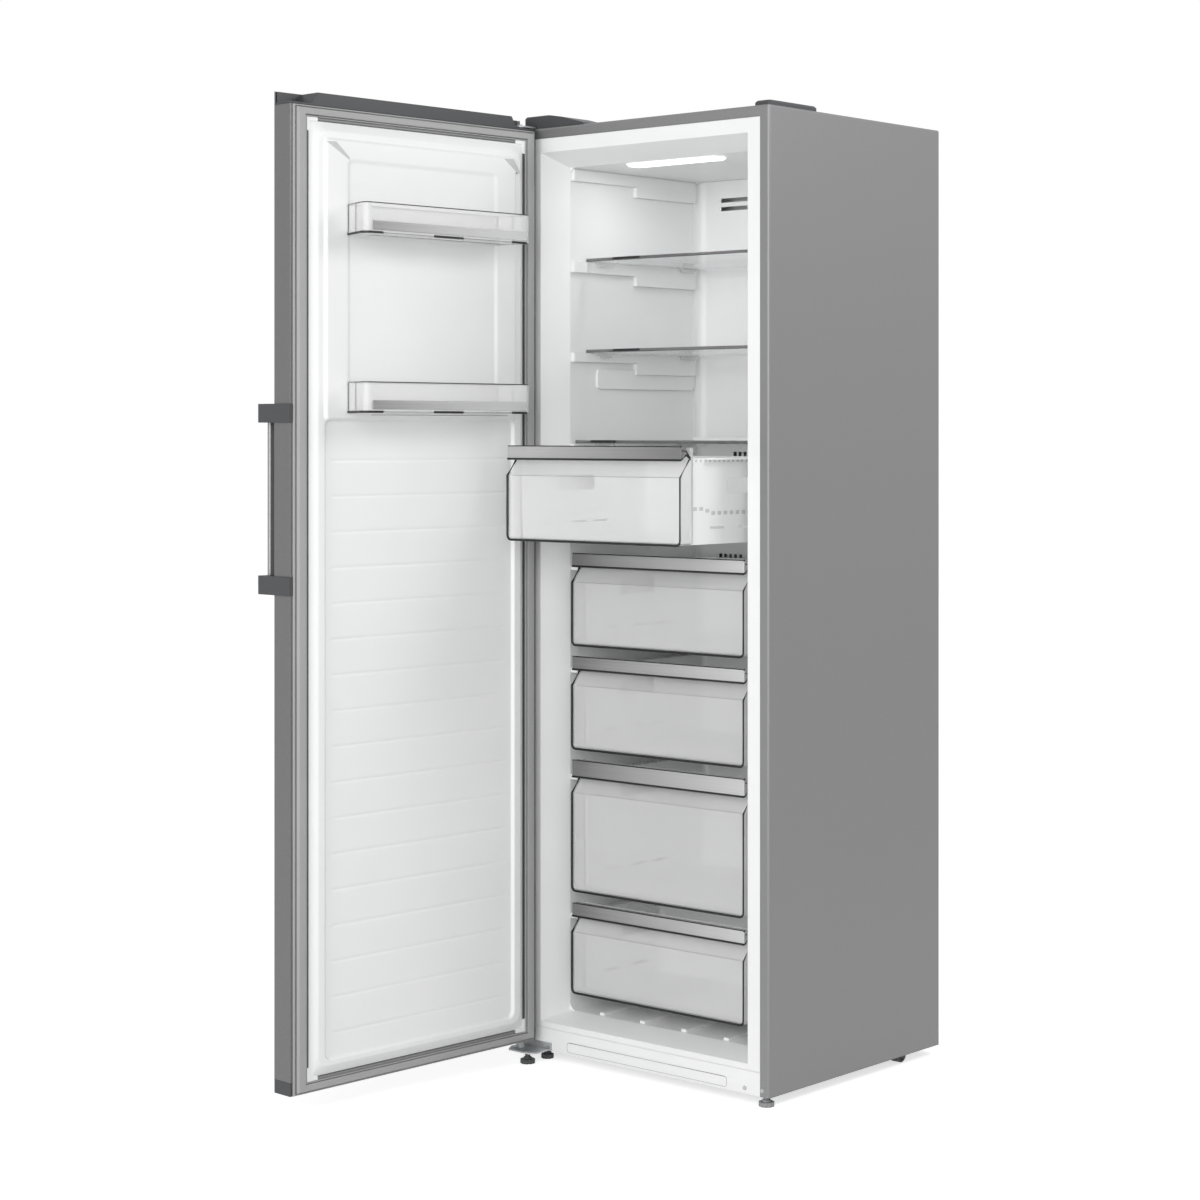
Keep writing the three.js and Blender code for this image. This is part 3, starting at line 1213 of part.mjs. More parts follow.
function shelfGlass(i) {
  const half = interiorHalf - SHELF_SIDE_GAP;
  const high = shelfTops[i] - GLASS_STEP;
  const front = SHELF_FRONTS[i] + SHELF_TRIM_DEPTH + CLEARANCE;
  return box(-half, half, front, shelfBack - SHELF_TRIM_DEPTH - CLEARANCE, high - SHELF_GLASS, high);
}

// Front and rear trims of a shelf, joined by the side strips that the glass is glued to, with
// four lugs that keep it between the ribs.
function shelfFrame(i) {
  const half = interiorHalf - SHELF_SIDE_GAP;
  const high = shelfTops[i];
  const low = high - SHELF_TRIM_HEIGHT;
  const front = SHELF_FRONTS[i];
  const glassLow = high - GLASS_STEP - SHELF_GLASS - CLEARANCE;
  const nose = push(rounded(front, front + SHELF_TRIM_DEPTH, low, high, [2, 0, 0, 2]), 'x', -half, half, 1);
  const rear = box(-half, half, shelfBack - SHELF_TRIM_DEPTH, shelfBack, low, low + SHELF_REAR_TRIM_HEIGHT);
  const strip = box(half - SHELF_STRIP, half, front + 1, shelfBack - 1, low, glassLow);
  const [thickness, length, height] = SHELF_LUG;
  const lugX = interiorHalf - RIB_PROTRUSION - 1 - thickness;
  const lug = (y) => box(lugX, lugX + thickness, y, y + length, low - height, low + 0.5);
  const rearLug = shelfBack - length - SHELF_LUG_END;
  return join(nose, rear, mirrored(join(strip, lug(SHELF_LUG_START), lug(rearLug))));
}

// ---- Drawers ------------------------------------------------------------------------------------

const lastDrawer = DRAWER_TOPS.length - 1;
const drawerBack = (i) => (i === lastDrawer ? stepDepth : ductFace) - DRAWER_BACK_GAP;

// White box, open at the front, with side runners, a handhold and drain slots in each side.
function drawerBox(i) {
  const y0 = DRAWER_FRONT + FRONT_RETURN + CLEARANCE;
  const y1 = drawerBack(i);
  const low = DRAWER_BOTTOMS[i];
  const high = runnerTop(i);
  const half = drawerHalf - 2;
  const corners = [0, 0, DRAWER_CORNER, DRAWER_CORNER];
  const shape = (inset, z, draft) => {
    const edge = inset + draft;
    return outline(-half + edge, half - edge, y0, y1 - edge, corners, z);
  };
  const body = loft([shape(0, low, DRAWER_DRAFT), shape(0, high, 0)]);
  const shapeIn = (z, draft) => shape(DRAWER_WALL, z, draft).map((p) => (p.y === y0 ? p.setY(y0 - 1) : p));
  const hollow = loft([shapeIn(low + DRAWER_WALL, DRAWER_DRAFT), shapeIn(high + 1, 0)]);
  const runner = box(half - 1, drawerHalf + RUNNER_REACH, DRAWER_FRONT + RUNNER_START, y1 - DRAWER_CORNER,
    high - RUNNER_THICKNESS, high);
  const sideX = [half - DRAWER_DRAFT - 5, half + 2];
  const gripLow = DRAWER_TOPS[i] - HANDHOLD_DROP;
  const gripY = DRAWER_FRONT + HANDHOLD_START;
  const hole = rounded(gripY, gripY + HANDHOLD_LENGTH, gripLow, gripLow + HANDHOLD_HEIGHT, HANDHOLD_RADIUS);
  const grip = push(hole, 'x', ...sideX, 2);
  const slotLow = low + SIDE_SLOT_LIFT;
  const slots = SIDE_SLOT_STARTS.map((start) => DRAWER_FRONT + start)
    .filter((y) => y + SIDE_SLOT_LENGTH < y1 - DRAWER_CORNER)
    .map((y) => box(...sideX, y, y + SIDE_SLOT_LENGTH, slotLow, slotLow + SIDE_SLOT_HEIGHT));
  return cut(join(cut(body, hollow), mirrored(runner)), mirrored(join(grip, ...slots)));
}

// Side view of the clear front: upright to the knee, then leaning back under the grip.
function frontProfile(i, inset) {
  const high = DRAWER_TOPS[i];
  const grip = high - GRIP_HEIGHTS[i];
  const knee = grip - KNEE_DROP;
  const f = DRAWER_FRONT + inset;
  const low = DRAWER_BOTTOMS[i] + inset;
  const back = DRAWER_FRONT + FRONT_RETURN + (inset ? 1 : 0);
  const top = high - 3 + (inset ? 4 : 0);
  return [
    [f + 4, low], [back, low], [back, grip + (inset ? 6 : 2)], [f + FRONT_LEAN + 6, top],
    [f + FRONT_LEAN, top], [f + FRONT_LEAN, grip + 2], [f, knee], [f, low + 4],
  ];
}

function drawerFront(i) {
  const low = DRAWER_BOTTOMS[i];
  const high = DRAWER_TOPS[i];
  const envelope = (inset) => {
    const half = drawerHalf - inset;
    const radius = FRONT_CORNER - inset / 2;
    const back = DRAWER_FRONT + FRONT_RETURN + 3;
    const corners = [radius, radius, 0, 0];
    const plan = rounded(-half, half, DRAWER_FRONT + inset, back, corners);
    const face = rounded(-half, half, low + inset, high + 5, corners);
    return common(
      push(frontProfile(i, inset), 'x', -half, half),
      push(plan, 'z', low - 1, high + 5, 2),
      push(face, 'y', DRAWER_FRONT - 1, back, 2),
    );
  };
  return cut(envelope(0), envelope(FRONT_WALL));
}

// Wedge-shaped strip across the top of the drawer that the fingers pull on.
function drawerGrip(i) {
  const high = DRAWER_TOPS[i];
  const low = high - GRIP_HEIGHTS[i];
  const back = DRAWER_FRONT + FRONT_LEAN - CLEARANCE;
  const profile = [
    [DRAWER_FRONT + 1, low], [DRAWER_FRONT + 4, low + 1], [back, high - 5], [back, high],
    [DRAWER_FRONT + 1, high], [DRAWER_FRONT, high - 1], [DRAWER_FRONT, low + 1],
  ];
  return push(profile, 'x', -drawerHalf, drawerHalf);
}

// ---- Assembly -----------------------------------------------------------------------------------

const model = new THREE.Group();

function buildCabinet() {
  const cabinet = new THREE.Group();
  part(cabinet, 'outer_shell', outerShell(), finishes.skin);
  part(cabinet, 'back_panel', backPanel(), finishes.galvanised);
  part(cabinet, 'plinth_panel', plinth(), finishes.liner);
  part(cabinet, 'base_pan', baseFrame(), finishes.black);
  part(cabinet, 'inner_liner', innerLiner(), finishes.liner);
  part(cabinet, 'insulation_foam', insulationFoam(), finishes.foam);
  part(cabinet, 'duct_cover', ductCover(), finishes.liner);
  part(cabinet, 'evaporator', evaporator(), finishes.aluminium);
  part(cabinet, 'fan_motor', fanMotor(), finishes.black);
  part(cabinet, 'evaporator_fan', evaporatorFan(), finishes.liner);
  part(cabinet, 'ceiling_lamp', ledLamp(), finishes.lamp);
  part(cabinet, 'compressor', compressor(), finishes.black);
  part(cabinet, 'drip_tray', dripTray(), finishes.dark);
  part(cabinet, 'condenser_coil', condenser(), finishes.black);
  part(cabinet, 'cooling_pipes', coolingPipes(), finishes.copper);
  part(cabinet, 'cable_gland', cableGland(), finishes.black);
  part(cabinet, 'upper_hinge', upperHinge(), finishes.galvanised);
  part(cabinet, 'hinge_cover', hingeCover(), finishes.dark);
  part(cabinet, 'blank_cover', blankCover(), finishes.dark);
  part(cabinet, 'lower_hinge', lowerHinge(), finishes.galvanised);
  part(cabinet, 'rear_roller_left', roller(-rollerX), finishes.dark);
  part(cabinet, 'rear_roller_right', roller(rollerX), finishes.dark);
  const stemTop = -CLEARANCE;
  const leftFoot = foot(-halfWidth + LEFT_FOOT_INSET, FOOT_SETBACK, LEFT_FOOT_RADIUS, stemTop);
  const rightFoot = foot(halfWidth - RIGHT_FOOT_INSET, FOOT_SETBACK, FOOT_RADIUS, stemTop);
  const [footX, footY] = HINGE_FOOT_OFFSET;
  const hingeFoot = foot(pivotX + footX, pivotY + footY, FOOT_RADIUS, LOWER_HINGE_LEVEL - CLEARANCE);
  part(cabinet, 'front_foot_left', leftFoot, finishes.dark);
  part(cabinet, 'front_foot_right', rightFoot, finishes.gasket);
  part(cabinet, 'hinge_foot', hingeFoot, finishes.dark);
  return cabinet;
}

// The door is made shut and then turned about its pins.
function buildDoor() {
  const door = new THREE.Group();
  part(door, 'door_skin', doorSkin(), finishes.skin);
  part(door, 'door_top_cap', doorCap(true), finishes.dark);
  part(door, 'door_bottom_cap', doorCap(false), finishes.dark);
  part(door, 'door_foam', doorFoam(), finishes.foam);
  part(door, 'door_liner', doorLiner(), finishes.liner);
  part(door, 'door_gasket', gasket(), finishes.gasket);
  part(door, 'gasket_retainer', gasketRetainer(), finishes.dark);
  part(door, 'handle_bar', handleBar(), finishes.grip);
  part(door, 'upper_handle_bracket', handleBracket(HANDLE_TOP - BRACKET_HEIGHT), finishes.dark);
  part(door, 'lower_handle_bracket', handleBracket(HANDLE_BOTTOM), finishes.dark);
  rackTops.forEach((top, i) => {
    const place = i === 0 ? 'upper' : 'lower';
    part(door, `${place}_door_rack`, rackBin(top), finishes.clear);
    part(door, `${place}_door_rack_band`, rackBand(top), finishes.grip);
  });
  const hung = new THREE.Group();
  door.position.set(-pivotX, -pivotY, 0);
  hung.position.set(pivotX, pivotY, 0);
  hung.rotation.z = THREE.MathUtils.degToRad(-DOOR_OPEN);
  hung.add(door);
  return hung;
}

function buildShelves() {
  const shelves = new THREE.Group();
  shelfTops.forEach((_, i) => {
    part(shelves, `shelf_${i + 1}_glass`, shelfGlass(i), finishes.glass);
    part(shelves, `shelf_${i + 1}_frame`, shelfFrame(i), finishes.liner);
  });
  return shelves;
}

function buildDrawers() {
  const drawers = new THREE.Group();
  DRAWER_TOPS.forEach((_, i) => {
    const drawer = new THREE.Group();
    part(drawer, `drawer_${i + 1}_box`, drawerBox(i), finishes.liner);
    part(drawer, `drawer_${i + 1}_front`, drawerFront(i), finishes.clear);
    part(drawer, `drawer_${i + 1}_grip`, drawerGrip(i), finishes.grip);
    drawer.position.y = i === 0 ? -DRAWER_PULL : 0;
    drawers.add(drawer);
  });
  return drawers;
}

const parts = new THREE.Group();
parts.add(buildCabinet(), buildDoor(), buildShelves(), buildDrawers());
const bounds = new THREE.Box3().setFromObject(parts, true);
const middle = bounds.getCenter(new THREE.Vector3());
parts.position.set(-middle.x, -middle.y, -bounds.min.z);
model.add(parts);

export default model;
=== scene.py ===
"""Upright freezer with its door open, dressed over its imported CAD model.

Pieces are made in millimetres in the cabinet's own axes (X right, Y back from the front plane, Z up
from the cabinet's lower edge), the door's as if it were shut, and then set in the frame.
"""

import math

import bmesh
import bpy
from mathutils import Matrix, Vector


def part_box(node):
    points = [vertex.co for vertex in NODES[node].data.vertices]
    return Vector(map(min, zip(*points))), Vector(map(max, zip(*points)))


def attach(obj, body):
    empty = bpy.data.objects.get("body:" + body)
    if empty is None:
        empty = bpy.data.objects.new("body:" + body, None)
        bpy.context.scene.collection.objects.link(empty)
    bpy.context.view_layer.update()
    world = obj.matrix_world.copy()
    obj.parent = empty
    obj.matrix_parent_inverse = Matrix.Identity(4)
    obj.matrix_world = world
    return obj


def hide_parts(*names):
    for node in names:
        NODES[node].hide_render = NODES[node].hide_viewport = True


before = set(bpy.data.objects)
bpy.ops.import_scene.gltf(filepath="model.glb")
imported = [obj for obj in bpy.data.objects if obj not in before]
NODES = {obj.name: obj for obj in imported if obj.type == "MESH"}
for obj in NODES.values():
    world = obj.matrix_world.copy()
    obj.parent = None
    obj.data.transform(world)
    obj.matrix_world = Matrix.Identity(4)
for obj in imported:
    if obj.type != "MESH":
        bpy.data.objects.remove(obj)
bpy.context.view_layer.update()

# ---- Places -------------------------------------------------------------------------------------

MM = 0.001
CABINET_HALF = 297.5
DOOR_HALF = 296.5
DOOR_INNER = -11.0
DOOR_OUTER = -58.0
DOOR_BOTTOM = 20
SIDE_TOP = 1743
DOOR_OPEN = 92.8
PIVOT = Vector((-275.0, -29.5, 0.0))

shell_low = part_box("outer_shell")[0]
ORIGIN = Vector((shell_low[0] + CABINET_HALF * MM, shell_low[1], shell_low[2]))
CABINET = Matrix.Translation(ORIGIN) @ Matrix.Scale(MM, 4)
DOOR = (CABINET @ Matrix.Translation(PIVOT) @ Matrix.Rotation(math.radians(-DOOR_OPEN), 4, "Z")
        @ Matrix.Translation(-PIVOT))

# ---- Materials ----------------------------------------------------------------------------------


def linear(code):
    """An sRGB hex colour as linear RGBA."""
    parts = [int(code[i:i + 2], 16) / 255 for i in (1, 3, 5)]
    return [p / 12.92 if p <= 0.04045 else ((p + 0.055) / 1.055) ** 2.4 for p in parts] + [1.0]


def add(tree, kind, inputs=None, **settings):
    """A node of that kind, with its settings and with each input set or linked."""
    made = tree.nodes.new(kind)
    for name, value in settings.items():
        setattr(made, name, value)
    for name, value in (inputs or {}).items():
        if isinstance(value, bpy.types.NodeSocket):
            tree.links.new(value, made.inputs[name])
        else:
            made.inputs[name].default_value = value
    return made


def material(name, code, roughness, **sockets):
    """A named material whose shader starts from one colour and one roughness."""
    made = bpy.data.materials.new(name)
    made.use_nodes = True
    tree = made.node_tree
    shader = tree.nodes["Principled BSDF"]
    shader.inputs["Base Color"].default_value = linear(code)
    shader.inputs["Roughness"].default_value = roughness
    for socket, value in sockets.items():
        shader.inputs[socket.replace("_", " ")].default_value = value
    return made, tree, shader


def object_place(tree, scale, turn=0.0):
    """Object coordinates in patterns per metre, turned about the upright axis."""
    place = add(tree, "ShaderNodeTexCoord").outputs["Object"]
    turned = add(tree, "ShaderNodeMapping", {"Vector": place, "Rotation": (0.0, 0.0, turn)})
    return add(tree, "ShaderNodeMapping", {"Vector": turned.outputs[0], "Scale": scale}).outputs[0]


def softened(tree, shader, height=None, depth_mm=0.05, strength=1.0, radius_mm=1.2):
    """Edges a little rounded for the light, and on top of that a relief of the given depth."""
    edge = add(tree, "ShaderNodeBevel", {"Radius": radius_mm * MM}, samples=4).outputs[0]
    if height is not None:
        edge = add(tree, "ShaderNodeBump", {"Strength": strength, "Distance": depth_mm * MM, "Height": height,
                                            "Normal": edge}).outputs[0]
    tree.links.new(edge, shader.inputs["Normal"])


def varied(tree, shader, value, low, high):
    """Roughness that wanders between two values with a pattern."""
    spread = add(tree, "ShaderNodeMapRange", {"Value": value, "To Min": low, "To Max": high})
    tree.links.new(spread.outputs[0], shader.inputs["Roughness"])


def tinted(tree, shader, value, dark, light):
    """Base colour that wanders between two colours with a pattern."""
    mixed = add(tree, "ShaderNodeMix", {"Factor": value}, data_type="RGBA")
    mixed.inputs[6].default_value = linear(dark)
    mixed.inputs[7].default_value = linear(light)
    tree.links.new(mixed.outputs[2], shader.inputs["Base Color"])


def brushed(name, dark, light, metallic, low, high, turn=0.0, grain=(6.0, 400.0, 700.0)):
    """Metal brushed along one way: long fine streaks, shinier along them."""
    made, tree, shader = material(name, light, high, Metallic=metallic)
    streaks = add(tree, "ShaderNodeTexNoise", {"Vector": object_place(tree, grain, turn), "Scale": 1.0,
                                               "Detail": 3.0, "Roughness": 0.6}).outputs[0]
    tinted(tree, shader, streaks, dark, light)
    varied(tree, shader, streaks, low, high)
    softened(tree, shader, streaks, 0.03, 0.25)
    return made


def moulded(name, dark, light, low, high, grain_mm=1.4, depth_mm=0.03, radius_mm=1.2, **sockets):
    """Injection-moulded plastic: an even colour with a fine eroded grain that breaks up its gloss."""
    made, tree, shader = material(name, light, high, **sockets)
    place = object_place(tree, (1.0, 1.0, 1.0))
    grain = add(tree, "ShaderNodeTexNoise", {"Vector": place, "Scale": 1.0 / (grain_mm * MM), "Detail": 2.0})
    cloud = add(tree, "ShaderNodeTexNoise", {"Vector": place, "Scale": 6.0, "Detail": 2.0})
    tinted(tree, shader, cloud.outputs[0], dark, light)
    varied(tree, shader, grain.outputs[0], low, high)
    softened(tree, shader, grain.outputs[0], depth_mm, 0.35, radius_mm)
    return made


def lacquered_steel():
    """Coil-coated steel in satin grey: a faint metallic fleck under a slightly uneven lacquer."""
    made, tree, shader = material("coil_coated_steel", "#858586", 0.4, Metallic=0.45)
    place = object_place(tree, (1.0, 1.0, 1.0))
    fleck = add(tree, "ShaderNodeTexNoise", {"Vector": place, "Scale": 900.0, "Detail": 1.0})
    peel = add(tree, "ShaderNodeTexNoise", {"Vector": place, "Scale": 260.0, "Detail": 1.0})
    tinted(tree, shader, fleck.outputs[0], "#808081", "#8b8b8c")
    varied(tree, shader, peel.outputs[0], 0.36, 0.46)
    softened(tree, shader, peel.outputs[0], 0.02, 0.2, 2.0)
    return made


def clear_styrene(name, code, least, most, roughness=0.08, ior=1.57):
    """Clear moulded styrene: seen through face on, milky and shiny towards its edges."""
    made, tree, shader = material(name, code, roughness, IOR=ior)
    place = object_place(tree, (1.0, 1.0, 1.0))
    flow = add(tree, "ShaderNodeTexNoise", {"Vector": place, "Scale": 9.0, "Detail": 2.0})
    facing = add(tree, "ShaderNodeLayerWeight", {"Blend": 0.25})
    cover = add(tree, "ShaderNodeMapRange", {"Value": facing.outputs["Facing"], "To Min": least,
                                             "To Max": most})
    tree.links.new(cover.outputs[0], shader.inputs["Alpha"])
    varied(tree, shader, flow.outputs[0], roughness * 0.6, roughness * 1.5)
    return made


FOIL_GRAIN = (3.0, 3.0, 900.0)  # streaks per metre along and across the strip
FOIL_STREAK = 0.35  # how far a streak moves the tone between its two ends


def foil_with_painted_reflection(name, start, end, axis, low, high):
    """Brushed silver foil with a painted reflection: its tone runs from one colour to the other along the
    strip.
    """
    made, tree, shader = material(name, start, 0.34, Metallic=0.35)
    place = object_place(tree, (1.0, 1.0, 1.0))
    part = add(tree, "ShaderNodeSeparateXYZ", {"Vector": place}).outputs[axis]
    painted_reflection_ramp = add(tree, "ShaderNodeMapRange", {"Value": part, "From Min": low, "From Max": high})
    streaks = add(tree, "ShaderNodeTexNoise", {"Vector": object_place(tree, FOIL_GRAIN), "Scale": 1.0,
                                               "Detail": 3.0})
    mixed = add(tree, "ShaderNodeMath", {0: streaks.outputs[0], 1: FOIL_STREAK, 2: painted_reflection_ramp.outputs[0]},
                operation="MULTIPLY_ADD")
    offset = add(tree, "ShaderNodeMath", {0: mixed.outputs[0], 1: FOIL_STREAK / 2}, operation="SUBTRACT")
    tinted(tree, shader, offset.outputs[0], start, end)
    varied(tree, shader, streaks.outputs[0], 0.28, 0.4)
    softened(tree, shader, streaks.outputs[0], 0.03, 0.25)
    return made


def lamp_diffuser():
    """Frosted cover of a lamp that is on."""
    made, tree, shader = material("frosted_lamp_cover", "#ffffff", 0.5, Emission_Strength=2.2)
    place = object_place(tree, (1.0, 1.0, 1.0))
    frost = add(tree, "ShaderNodeTexNoise", {"Vector": place, "Scale": 30.0, "Detail": 2.0})
    mixed = add(tree, "ShaderNodeMix", {"Factor": frost.outputs[0]}, data_type="RGBA")
    mixed.inputs[6].default_value = linear("#f6f8fa")
    mixed.inputs[7].default_value = linear("#ffffff")
    tree.links.new(mixed.outputs[2], shader.inputs["Emission Color"])
    return made


def rigid_foam():
    """Poured polyurethane: cream, with a fine closed cell."""
    made, tree, shader = material("poured_polyurethane_foam", "#e8dfb8", 0.95)
    cells = add(tree, "ShaderNodeTexVoronoi", {"Vector": object_place(tree, (1.0, 1.0, 1.0)), "Scale": 350.0})
    tinted(tree, shader, cells.outputs["Distance"], "#d9cfa2", "#efe7c4")
    softened(tree, shader, cells.outputs["Distance"], 0.4, 0.5, 0.5)
    return made


def galvanised_sheet():
    """Hot-dip galvanised sheet with its large dull spangle."""
    made, tree, shader = material("galvanised_sheet", "#b4b7b9", 0.5, Metallic=0.7)
    place = object_place(tree, (1.0, 1.0, 1.0))
    spangle = add(tree, "ShaderNodeTexVoronoi", {"Vector": place, "Scale": 60.0})
    shade = add(tree, "ShaderNodeSeparateColor", {"Color": spangle.outputs["Color"]}).outputs[0]
    tinted(tree, shader, shade, "#a6a9ab", "#bfc2c4")
    varied(tree, shader, shade, 0.42, 0.58)
    softened(tree, shader, shade, 0.01, 0.1, 0.6)
    return made


WHITE = moulded("vacuum_formed_white_polystyrene", "#eeefef", "#f4f4f4", 0.30, 0.40, 2.2, 0.02, 2.0)
WHITE_PLASTIC = moulded("white_abs", "#eff0f0", "#f6f6f6", 0.32, 0.42, 1.2, 0.02, 0.8)
SIDE_STEEL = lacquered_steel()
DOOR_STEEL = brushed("brushed_coated_steel", "#656566", "#7c7c7d", 0.55, 0.34, 0.46,
                     math.radians(DOOR_OPEN))
SILVER = brushed("brushed_silver_foil", "#8c8c8c", "#9e9e9e", 0.55, 0.28, 0.38)
DARK = moulded("dark_grey_abs", "#3a3b3d", "#434446", 0.42, 0.55)
BLACK = moulded("black_abs", "#141516", "#1c1d1e", 0.4, 0.55)
SEAL = moulded("soft_grey_pvc", "#a2a2a2", "#ababab", 0.55, 0.68, 0.9, 0.02, 0.6)
FOOT_GREY = moulded("grey_polypropylene", "#8d8e90", "#999a9c", 0.45, 0.58)
ENAMEL = moulded("black_enamelled_steel", "#17181a", "#1f2022", 0.28, 0.4, 3.0, 0.03, 1.5, Metallic=0.2)
CLEAR = clear_styrene("clear_styrene", "#f8f8f8", 0.3, 0.5)
# Painted shade: black and grey lines laid along the clear plastic's edges and folds, where they look dark.
PAINTED_EDGE_SHADE = moulded("painted_shade_on_clear_edges", "#050505", "#090909", 0.35, 0.45, 4.0, 0.01, 0.4)
PAINTED_FOLD_SHADE = moulded("painted_shade_on_clear_folds", "#6e6e6e", "#7e7e7e", 0.2, 0.3, 4.0, 0.01, 0.4)
PAINTED_FINE_SHADE = moulded("painted_shade_on_thin_clear_edges", "#262626", "#303030", 0.3, 0.4, 4.0, 0.01, 0.4)
# Painted highlight: whitish translucent styrene for the bright strip in the racks' rounded corners.
PAINTED_CORNER_HIGHLIGHT = clear_styrene("painted_highlight_in_clear_corners", "#f4f5f5", 0.55, 0.8, 0.3)
GLASS = clear_styrene("toughened_glass", "#dfe6e5", 0.06, 0.55, 0.03, 1.52)
# Painted reflection: each foil's tone runs from its first colour to its second along the strip.
TOP_GRIP = foil_with_painted_reflection("silver_foil_on_the_top_grip", "#b8b8b8", "#787878", 0, -0.12, 0.24)
GRIP = foil_with_painted_reflection("silver_foil_on_a_grip", "#828282", "#cccccc", 0, -0.17, 0.25)
RACK_FOIL = foil_with_painted_reflection("silver_foil_on_a_rack", "#7a7a7a", "#dadada", 1, -0.53, -0.14)
# Painted shade: white plastic made grey for the gusset facets and the plinth panel's outline.
PAINTED_SHADE_ON_WHITE = moulded("painted_shade_on_white_abs", "#c4c4c4", "#cbcbcb", 0.4, 0.5, 1.2, 0.02, 0.4)
# Painted shade: white plastic made grey for the hollows of the pockets on the drawer sides.
PAINTED_POCKET_SHADE = moulded("painted_pocket_shade_on_white_abs", "#c9c9c9", "#d1d1d1", 0.4, 0.5, 1.2, 0.02, 0.4)
# Painted light: the top and bottom strips lighter than the same strips along the sides.
PAINTED_LIGHTER_STRIP_GREY = moulded("mid_grey_abs", "#7c7c7c", "#868686", 0.42, 0.55)
PAINTED_SEAL_CREASE_SHADE = moulded("painted_shade_in_the_seal_creases", "#6f6f6f", "#787878", 0.6, 0.7, 0.9, 0.02, 0.3)
TRIM = brushed("bright_trim_foil", "#6d6d6d", "#939393", 0.9, 0.18, 0.26)
ZINC = galvanised_sheet()
FOAM = rigid_foam()
LAMP = lamp_diffuser()
FIN = brushed("mill_aluminium_fin", "#b9bbbd", "#cfd1d3", 0.9, 0.3, 0.42)
COPPER = moulded("drawn_copper_tube", "#9c5c36", "#b8724a", 0.28, 0.42, 5.0, 0.01, 0.8, Metallic=0.9)

# ---- Making pieces ------------------------------------------------------------------------------


SMOOTH_TURN = 34  # degrees up to which neighbouring faces shade as one


def finished(name, bm, finish, body, place=CABINET, stands_for=(), smooth=SMOOTH_TURN, thickness=0.0,
             facing=None):
    """The bmesh, in millimetres, as a piece that rides on its body. An open sheet says which way it faces."""
    bmesh.ops.transform(bm, matrix=place, verts=bm.verts)
    bmesh.ops.recalc_face_normals(bm, faces=bm.faces)
    if facing is not None:
        mean = sum((face.normal * face.calc_area() for face in bm.faces), Vector())
        if mean.dot(place.to_3x3() @ Vector(facing)) < 0:
            bmesh.ops.reverse_faces(bm, faces=bm.faces)
    mesh = bpy.data.meshes.new(name)
    bm.to_mesh(mesh)
    bm.free()
    mesh.shade_smooth()
    mesh.set_sharp_from_angle(angle=math.radians(smooth))
    made = bpy.data.objects.new(name, mesh)
    bpy.context.scene.collection.objects.link(made)
    made.data.materials.append(finish)
    if thickness:
        wall = made.modifiers.new("wall", "SOLIDIFY")
        wall.thickness = thickness * MM
        wall.offset = -1
    made.modifiers.new("flat faces stay flat", "WEIGHTED_NORMAL").keep_sharp = True
    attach(made, body)
    if stands_for:
        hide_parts(*stands_for)
    return made


def rounded(a0, a1, b0, b1, radii, steps=5):
    """The points of a rectangle whose corners have their own radii, from the low corner round."""
    radii = radii if isinstance(radii, (tuple, list)) else (radii,) * 4
    corners = [(a0, b0, 1, 1, 180), (a1, b0, -1, 1, 270), (a1, b1, -1, -1, 0), (a0, b1, 1, -1, 90)]
    points = []
    for (a, b, sa, sb, start), radius in zip(corners, radii):
        if radius <= 0:
            points.append((a, b))
            continue
        for i in range(steps + 1):
            angle = math.radians(start + 90 * i / steps)
            points.append((a + radius * (sa + math.cos(angle)), b + radius * (sb + math.sin(angle))))
    return points


ALONG = {"x": lambda p, q, t: (t, p, q), "y": lambda p, q, t: (p, t, q), "z": lambda p, q, t: (p, q, t)}


def vertices_in(geometry):
    return [part for part in geometry if isinstance(part, bmesh.types.BMVert)]


def pushed(bm, profile, axis, start, end):
    """A profile pushed out along an axis. Its points are (y, z), (x, z) or (x, y)."""
    loop = [bm.verts.new(ALONG[axis](p, q, start)) for p, q in profile]
    face = bm.faces.new(loop)
    out = bmesh.ops.extrude_face_region(bm, geom=[face])["geom"]
    bmesh.ops.translate(bm, verts=vertices_in(out), vec=Vector(ALONG[axis](0, 0, end - start)))
    return bm


def block(bm, x0, x1, y0, y1, z0, z1):
    return pushed(bm, [(x0, y0), (x1, y0), (x1, y1), (x0, y1)], "z", z0, z1)


def turning(bm, degrees):
    """The edges whose two faces turn by more than that angle."""
    return [e for e in bm.edges if e.is_manifold and e.calc_face_angle(0) > math.radians(degrees)]


def eased(bm, width, segments=2, degrees=30):
    """Rounds every edge that turns by more than the angle."""
    bmesh.ops.recalc_face_normals(bm, faces=bm.faces)
    bmesh.ops.bevel(bm, geom=turning(bm, degrees), offset=width, segments=segments, affect="EDGES",
                    profile=0.5, material=-1, clamp_overlap=True)
    return bm


def made_of(build, *args, ease=0.0):
    """A new bmesh that a build function fills, with its edges eased."""
    bm = bmesh.new()
    build(bm, *args)
    return eased(bm, ease) if ease else bm


def copied(node, place=CABINET, ease=0.0):
    """A CAD node's form in millimetres, with its flat faces whole and its edges eased."""
    bm = bmesh.new()
    bm.from_mesh(NODES[node].data)
    bmesh.ops.transform(bm, matrix=place.inverted(), verts=bm.verts)
    bmesh.ops.remove_doubles(bm, verts=bm.verts, dist=0.005)
    bmesh.ops.dissolve_limit(bm, angle_limit=math.radians(0.8), verts=bm.verts, edges=bm.edges)
    return eased(bm, ease) if ease else bm


